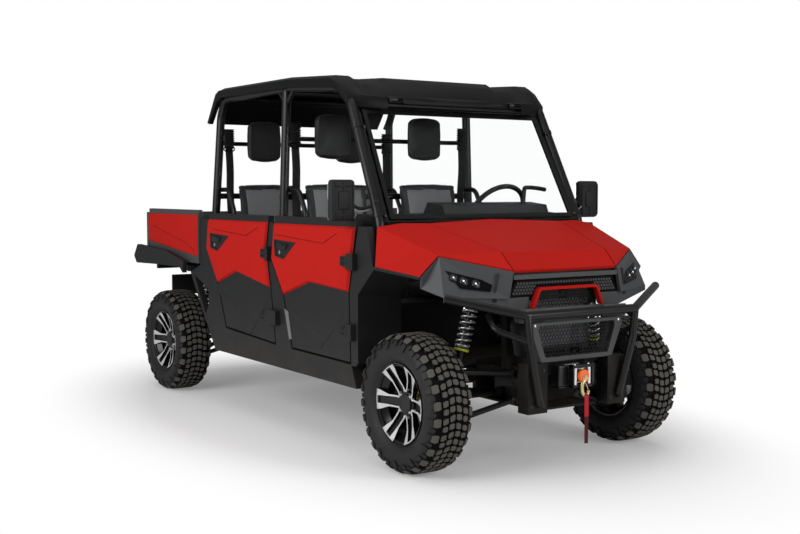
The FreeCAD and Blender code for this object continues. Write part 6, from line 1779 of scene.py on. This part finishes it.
FOLDED = (
    ("hood", 2.5), ("front_fenders", 2.5), ("front_fascia", 2.5), ("body_sides", 3.5),
    ("rear_flares", 4.0), ("bed_panels", 2.0), ("grille_panel", 2.0), ("lower_bezel", 4.0),
    ("dashboard", 5.0), ("seat_bases", 5.0), ("headlights", 3.0), ("bed_tub", 4.0), ("tailgate", 4.0),
    ("power_units", 5.0), ("windscreen_frame", 2.0))
SOFTENED = (
    ("roof_panel", 5.0), ("chassis_frame", 2.0), ("bumper_guard", 1.5), ("suspension_arms", 1.5),
    ("front_right_knuckle", 2.0), ("front_left_knuckle", 2.0), ("rear_knuckles", 2.0))


def behind_the_guard(spot):
    """Whether a place on the guard lies on its mounts, which are as dull as the chassis."""
    return 0.19 < abs(spot.x) < 0.31 and spot.z < 0.56 and spot.y > FRONT_AXLE.y - 0.405


def softened_frame():
    """Pressed and moulded panels keep clear folds; tubes and castings are smooth all round."""
    for node_name, width in FOLDED:
        item = softened(node_name, width, degrees=6, crisp=True)
        for vert in item.data.vertices:
            # The lamps' outer tips stay behind the fenders' edges
            if node_name == "headlights" and abs(vert.co.x) > 0.57:
                vert.co.y = min(vert.co.y, FRONT_AXLE.y - 0.148)
            # The front tips of the body sides draw in under the fenders
            if node_name == "body_sides" and abs(vert.co.x) > 0.70 and vert.co.y < FRONT_AXLE.y - 0.08:
                vert.co.x -= math.copysign(0.04, vert.co.x)
    for node_name, width in SOFTENED:
        item = softened(node_name, width)
        if node_name == "bumper_guard":
            item.data.materials.append(CHASSIS_COAT)
            tint(item, behind_the_guard)
    for corner in CORNERS:
        softened(corner + "_door", 3.0, degrees=6, crisp=True)
        softened(corner + "_door_skin", 2.0, degrees=6, crisp=True)


# Studio

FLOOR_REACH = 30.0


def floor():
    """A pale floor that keeps the vehicle's shadow and fades to white away from it."""
    material, tree, shader = new_material("studio_floor")
    shader.inputs["Base Color"].default_value = (0.86, 0.86, 0.86, 1.0)
    shader.inputs["Roughness"].default_value = 0.9
    shader.inputs["Specular IOR Level"].default_value = 0.0
    place = add_node(tree, "ShaderNodeTexCoord").outputs["Object"]
    squeezed = add_node(tree, "ShaderNodeMapping", inputs={"Vector": place, "Scale": (0.62, 0.36, 1.0)})
    far = add_node(tree, "ShaderNodeVectorMath", operation="LENGTH", inputs={0: squeezed.outputs[0]})
    fade = add_node(
        tree, "ShaderNodeMapRange", interpolation_type="SMOOTHSTEP",
        inputs={"Value": far.outputs["Value"], "From Min": 0.55, "From Max": 1.15})
    white = add_node(tree, "ShaderNodeEmission", inputs={"Color": (1.0, 1.0, 1.0, 1.0), "Strength": 1.0})
    path = add_node(tree, "ShaderNodeLightPath")
    share = calc(tree, "MAXIMUM", fade.outputs[0], 0.2)
    seen = calc(tree, "MULTIPLY", share, path.outputs["Is Camera Ray"])
    both = add_node(
        tree, "ShaderNodeMixShader", inputs={0: seen, 1: shader.outputs[0], 2: white.outputs[0]})
    tree.links.new(both.outputs[0], tree.nodes["Material Output"].inputs["Surface"])
    corners = [(x * FLOOR_REACH, y * FLOOR_REACH, 0) for x, y in ((-1, -1), (1, -1), (1, 1), (-1, 1))]
    mesh_piece("studio_floor", corners, [(0, 1, 2, 3)], [material])


def world():
    """White for the camera and through glass; a plain grey sky for light and reflections."""
    scene_world = bpy.data.worlds.new("studio")
    bpy.context.scene.world = scene_world
    scene_world.use_nodes = True
    tree = scene_world.node_tree
    background = tree.nodes["Background"]
    path = add_node(tree, "ShaderNodeLightPath")
    seen = calc(tree, "MAXIMUM", path.outputs["Is Camera Ray"], path.outputs["Is Transmission Ray"])
    strength = add_node(tree, "ShaderNodeMix", data_type="FLOAT", inputs={0: seen, 2: 0.3, 3: 1.0})
    background.inputs["Color"].default_value = (1.0, 1.0, 1.0, 1.0)
    tree.links.new(strength.outputs[0], background.inputs["Strength"])


def softbox(name, place, target, width, height, power):
    """A wide soft lamp at a place in metres, aimed at a target."""
    light = bpy.data.lights.new(name, "AREA")
    light.shape = "RECTANGLE"
    light.size = width
    light.size_y = height
    light.energy = power
    item = bpy.data.objects.new(name, light)
    bpy.context.scene.collection.objects.link(item)
    item.location = place
    item.rotation_euler = (Vector(target) - Vector(place)).to_track_quat("-Z", "Y").to_euler()


def camera():
    """The photograph's view, solved from the wheels, roof and fenders."""
    lens = bpy.data.cameras.new("photo_camera")
    lens.sensor_width = 36.0
    lens.lens = 52.28
    lens.clip_end = 200.0
    item = bpy.data.objects.new("photo_camera", lens)
    bpy.context.scene.collection.objects.link(item)
    item.location = at(-3723.1, -4465.5, 1327.6)
    item.rotation_euler = (math.pi / 2 - 0.0661, 0.0, -0.5885)
    bpy.context.scene.camera = item


camera()
world()
floor()
softbox("ceiling_box", (-0.6, -0.6, 5.2), (0.0, 0.2, 0.6), 5.0, 6.0, 75)
softbox("side_box", (-5.2, -1.0, 2.6), (0.0, 0.2, 0.8), 4.0, 2.6, 185)
softbox("front_box", (1.6, -6.2, 2.4), (0.0, -0.8, 0.8), 3.0, 2.4, 130)
finishes()
wheels()
softened_frame()
nose_screens()
hexagon_relief()
grille_surround()
nose_liners()
radiator()
lamps()
guard_details()
winch()
winch_hook()
pull_strap()
door_details()
belts()
hand_wheel()
dash_details()
cabin_controls()
mirror_details()
roof_details()
bed_details()
tail_details()
springs()
seat_cushions()
seat_backs()
headrests()
glass_border()

bpy.context.scene.view_settings.view_transform = "Standard"
